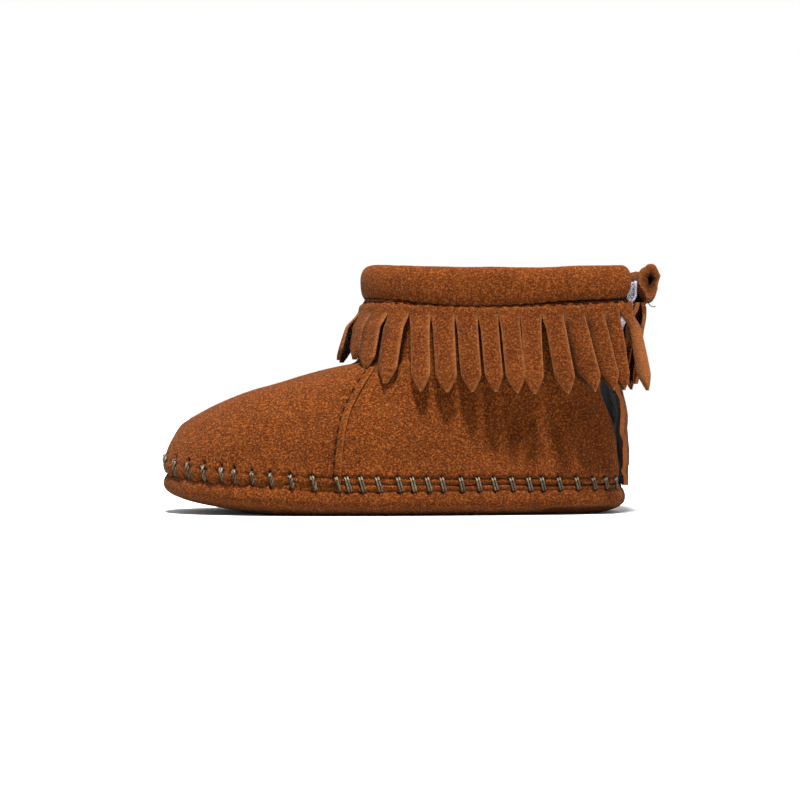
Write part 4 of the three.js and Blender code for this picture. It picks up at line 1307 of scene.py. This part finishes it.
def quarter_patch(side, name, node_name):
    steps = 9
    fore = rear_x(PATCH_BOTTOM)
    grid = []
    for i in range(steps + 1):
        length = PATCH_LENGTH * (0.7 + 0.08 * math.sin(1.9 * i))
        above = 1 - i / steps
        z = PATCH_BOTTOM + 1.9 * above + PATCH_HEIGHT * i / steps
        row = []
        for j in range(steps + 1):
            wavy = z + 0.4 * math.sin(1.7 * j + side) * above
            row.append(wall_point(fore - length + length * j / steps, wavy, side))
        grid.append(row)
    grid = np.array(grid)
    n = grid_normals(grid)
    pile_patch(name, node_name, grid, n, GAP, 0.55, 650, 0.07, (61 + side, 63 + side))


def flap_patch():
    across = np.linspace(-PATCH_REACH, PATCH_REACH, 13)
    rise = np.linspace(0.78, 1, 8)[:, None]
    lower = flap_point(rise + 0 * across, across + 0 * rise)
    lower[..., 0] -= FLAP_THICKNESS + GAP
    lower[-1, :, 2] += GAP
    upper = []
    for share in (0.14, 0.26, 0.38, 0.5, 0.62):
        centre = flap_roll_centre(across)
        centre[:, 0] -= FLAP_ROLL_THICKNESS / 2 + GAP
        centre[:, 2] += (share - 0.5) * ROLL_HEIGHT
        upper.append(centre)
    grid = np.concatenate([lower, upper])
    n = np.zeros_like(grid) + np.array([-1.0, 0, 0])
    pile_patch("flap_patch_pile", "flap_patch", grid, n, 0, 0.6, 1500, 0.075, (71, 72))


def at_arc(arcs, grid, arc):
    """A grid's column at a place along the seam"""
    j = float(np.interp(arc, arcs, np.arange(len(arcs))))
    a = min(int(j), len(arcs) - 2)
    return lerp(grid[:, a], grid[:, a + 1], j - a)


def at_level(level, lengths, column):
    """What a column holds at a length along it"""
    return np.array([np.interp(level, lengths, column[:, k]) for k in range(3)])


# How far each whipstitch leans towards the heel, by its place along the seam from the toe
STITCH_LEAN = table(
    "arc lean",
    (0, 0.0),
    (30, 0.2),
    (40, 0.6),
    (50, 1.2),
    (62, 1.0),
    (75, 0.7),
    (90, 0.5),
    (131, 0.3),
)
STITCH_PLACES = 34
STRAND_RADIUS = 0.215
STRAND_OFFSET = 0.31


def stitch_line(arc, upper_part, sole_part):
    """One whipstitch's middle line over both leathers, and its outward and sideways directions"""
    arcs, grid, normals = upper_part
    lean = float(np.interp(abs(arc), STITCH_LEAN["arc"], STITCH_LEAN["lean"]))
    lean = math.copysign(lean, arc)
    top, foot = float(seam_work("top", arc)), float(seam_work("foot", arc))
    column, normal = at_arc(arcs, grid, arc), at_arc(arcs, normals, arc)
    low_arc = float(np.clip(arc + lean, -ARC_HEEL, ARC_HEEL))
    low_column, low_normal = (at_arc(sole_part[0], part, low_arc) for part in sole_part[1:])
    h, d = (heights(c[:, None])[:, 0] for c in (column, low_column))
    surface, away = [], []
    count = 15
    for level in np.linspace(top, foot, count):
        if level >= 0:
            t = 1 - level / top
            leaning = at_arc(arcs, grid, arc + lean * 0.5 * t)
            surface.append(lerp(at_level(level, h, column), at_level(level, h, leaning), t))
            away.append(at_level(level, h, normal))
        else:
            surface.append(at_level(-level, d, low_column))
            away.append(at_level(-level, d, low_normal))
    outward = unit(np.mean(away, axis=0))
    surface = np.array(surface)
    surface[0] += outward * 0.5
    surface[-1] += outward * 0.3
    t = np.linspace(0, 1, count)[:, None]
    arched = np.sin(math.pi * t) ** 0.55
    chord = lerp(surface[0], surface[-1], t)
    rise = (surface - chord) @ outward / np.maximum(arched[:, 0], 0.4)
    arch = max(0.05, float(np.max(rise[2:-2]))) + 0.05
    path = chord + outward * (arch * arched + 0.16 - 0.14 * bell(arc, 4))
    down = unit(surface[-1] - surface[0])
    path = np.concatenate([[path[0] - outward * 1.1 - down * 0.02], path, [path[-1] - outward]])
    return smooth_path(path, STITCH_PLACES), outward, unit(np.cross(outward, down))


def whipstitches(vamp_part, quarter_parts, sole_part):
    shell = Shell()
    share = np.linspace(0, 1, STITCH_PLACES)
    # painted highlight near the top of each stitch, and painted shade at both ends where it goes into
    # the leather
    light = 0.6 * bell(share - 0.15, 0.06) + 0.05
    dark = 0.9 * np.maximum(1 - smoothstep(share, 0.0, 0.09), smoothstep(share, 0.93, 1.0))
    for number, arc in enumerate(STITCHES):
        if abs(arc) > ARC_REAR - 0.6:
            continue
        on_vamp = abs(arc) < ARC_LAP - 0.3
        upper_part = vamp_part[:3] if on_vamp else quarter_parts[-1 if arc < 0 else 1]
        path, outward, across = stitch_line(arc, upper_part, sole_part)
        rope = float(1 - smoothstep(abs(arc), 46, 58))
        turn = math.pi * 3 * rope * share + 0.6 * rope * number
        for strand in (-1, 1):
            aside = strand * STRAND_OFFSET * np.cos(turn) + 0.024 * math.sin(3.7 * number)
            raised = strand * (0.24 * np.sin(turn) + 0.05 * np.sin(9 * share + number))
            add_tube(
                shell, path + across * aside[:, None] + outward * raised[:, None], STRAND_RADIUS, 8,
                0.2, 2.4 + 0.3 * strand, np.repeat(light, 8), np.repeat(dark, 8), up=tuple(outward),
            )
    shell.make("whipstitch_thread", THREAD, "thread", sharp=None)


def dashes(shell, line, normal, pitch, length, radius, sink=0.0, start=0.0, stop=math.inf):
    """Running stitches along a line of points"""
    steps = np.concatenate([[0], np.cumsum(np.linalg.norm(np.diff(line, axis=0), axis=1))])
    from_middle = np.abs(np.linspace(-1, 1, 9))
    dip = (sink + 0.35 * from_middle**4)[:, None]
    # painted shade at each dash's ends, where it sinks into the leather
    dark = np.repeat(from_middle**3 * 0.8, 7)
    s = start
    while s + length < min(stop, steps[-1]):
        at = np.linspace(s + 0.22 * math.sin(2.7 * s), s + length + 0.25 * math.sin(4.1 * s), 9)
        p, n = (at_level(at, steps, column).T for column in (line, normal))
        n = unit(n)
        add_tube(shell, p - n * dip, radius, 7, 0.15, 0.8, 0.1, dark, up=tuple(n[4]))
        s += pitch


def lap_stitches(vamp_part):
    arcs, grid, normals, inward = vamp_part
    shell = Shell()
    half = len(arcs) // 2
    for columns in (slice(0, half), slice(len(arcs) - 1, half, -1)):
        in_by = inward[:, columns]
        line, normal = (
            np.array([at_level(LAP_STITCH_IN, d, row) for d, row in zip(in_by, part[:, columns])])
            for part in (grid, normals)
        )
        dashes(shell, line, normal, LAP_STITCH_PITCH, 1.7, 0.2, -0.1, start=2.3, stop=42)
    shell.make("lap_stitch_thread", THREAD_BROWN_PAINTED_SHADE, "thread", sharp=None)


def roll_stitches():
    arcs = np.linspace(-COLLAR_ARC + 1, COLLAR_ARC - 1, 400)
    line, out, _ = collar_line(arcs)
    x = line[:, 0].copy()
    line += out * (collar_start(x) + FRINGE_THICKNESS + 0.04 - tuck(x, 0.3))[:, None]
    line[:, 2] -= hem(x) + 0.3
    shell = Shell()
    dashes(shell, line, out, ROLL_STITCH_PITCH, 1.6, 0.24)
    side = np.linspace(-0.95, 0.95, 60)
    seam = flap_point(np.ones_like(side), side)
    seam[:, 0] += GAP + FRINGE_THICKNESS - 0.35
    seam[:, 2] -= 0.25
    dashes(shell, seam, np.zeros_like(seam) + [1.0, 0, 0], ROLL_STITCH_PITCH, 1.6, 0.24)
    roll_end = flap_roll_centre(np.array([-1.0]))[0]
    # a loose thread end at the flap's roll
    loose = smooth_path(roll_end + np.array([
        (0.4, 0.3, -3.4), (0.2, -0.4, -4.5), (0.5, -0.8, -5.3), (1.2, -0.9, -5.7), (2.0, -0.8, -5.6)
    ]), 20)
    add_tube(shell, loose, 0.11, 6, 0.1, 2.0)
    shell.make("roll_stitch_thread", THREAD_BROWN_PAINTED_SHADE, "thread", sharp=None)


sole_part = sole()
insole()
vamp_part = vamp()
quarter_parts = {-1: quarter(-1), 1: quarter(1)}
lining()
collar_roll()
collar_fringe()
flap()
flap_roll()
flap_fringe()
quarter_patch(-1, "patch_near_pile", "patch_near")
quarter_patch(1, "patch_far_pile", "patch_far")
flap_patch()
whipstitches(vamp_part, quarter_parts, sole_part)
lap_stitches(vamp_part)
roll_stitches()

# Floor and light
scene = bpy.context.scene
scene.view_settings.view_transform = "Standard"
floor_mesh = bpy.data.meshes.new("floor")
floor_mesh.from_pydata([(-3, -3, 0), (3, -3, 0), (3, 3, 0), (-3, 3, 0)], [], [(0, 1, 2, 3)])
floor = bpy.data.objects.new("floor", floor_mesh)
scene.collection.objects.link(floor)
floor_material, floor_tree, floor_shader = new_material("floor_paper")
tone = noise_at(floor_tree, 3, 2.0, 0.5)
patchy = remap(floor_tree, tone, 0.3, 0.7, 0, 1)
paper = blend(floor_tree, patchy, (0.52, 0.52, 0.525), (0.55, 0.55, 0.55))
floor_tree.links.new(paper, floor_shader.inputs["Base Color"])
floor_shader.inputs["Roughness"].default_value = 0.9
floor_shader.inputs["Specular IOR Level"].default_value = 0.1
floor_mesh.materials.append(floor_material)

world = bpy.data.worlds.new("studio")
world.use_nodes = True
world.node_tree.nodes["Background"].inputs["Color"].default_value = (1, 1, 1, 1)
world.node_tree.nodes["Background"].inputs["Strength"].default_value = 1.0
scene.world = world


def shine(name, kind, place, strength):
    """A light at a place, turned towards the boot"""
    light = bpy.data.lights.new(name, kind)
    light.energy = strength
    made = bpy.data.objects.new(name, light)
    made.location = place
    made.rotation_mode = "QUATERNION"
    made.rotation_quaternion = (-mathutils.Vector(place)).to_track_quat("-Z", "Y")
    scene.collection.objects.link(made)
    return light


shine("key", "SUN", (0.02, -0.3, 0.95), 15.5).angle = 0.15
fill = shine("fill", "AREA", (0.45, -0.5, 0.5), 0.4)
fill.shape = "DISK"
fill.size = 0.5

# Camera at the photograph's angle: level, 600 mm from the boot's middle plane
camera = bpy.data.objects.new("camera", bpy.data.cameras.new("camera"))
camera.data.lens = 104.4
camera.location = (-0.00234, -0.6, 0.029)
camera.rotation_euler = (math.pi / 2, 0, 0)
camera.data.clip_start = 0.01
scene.collection.objects.link(camera)
scene.camera = camera
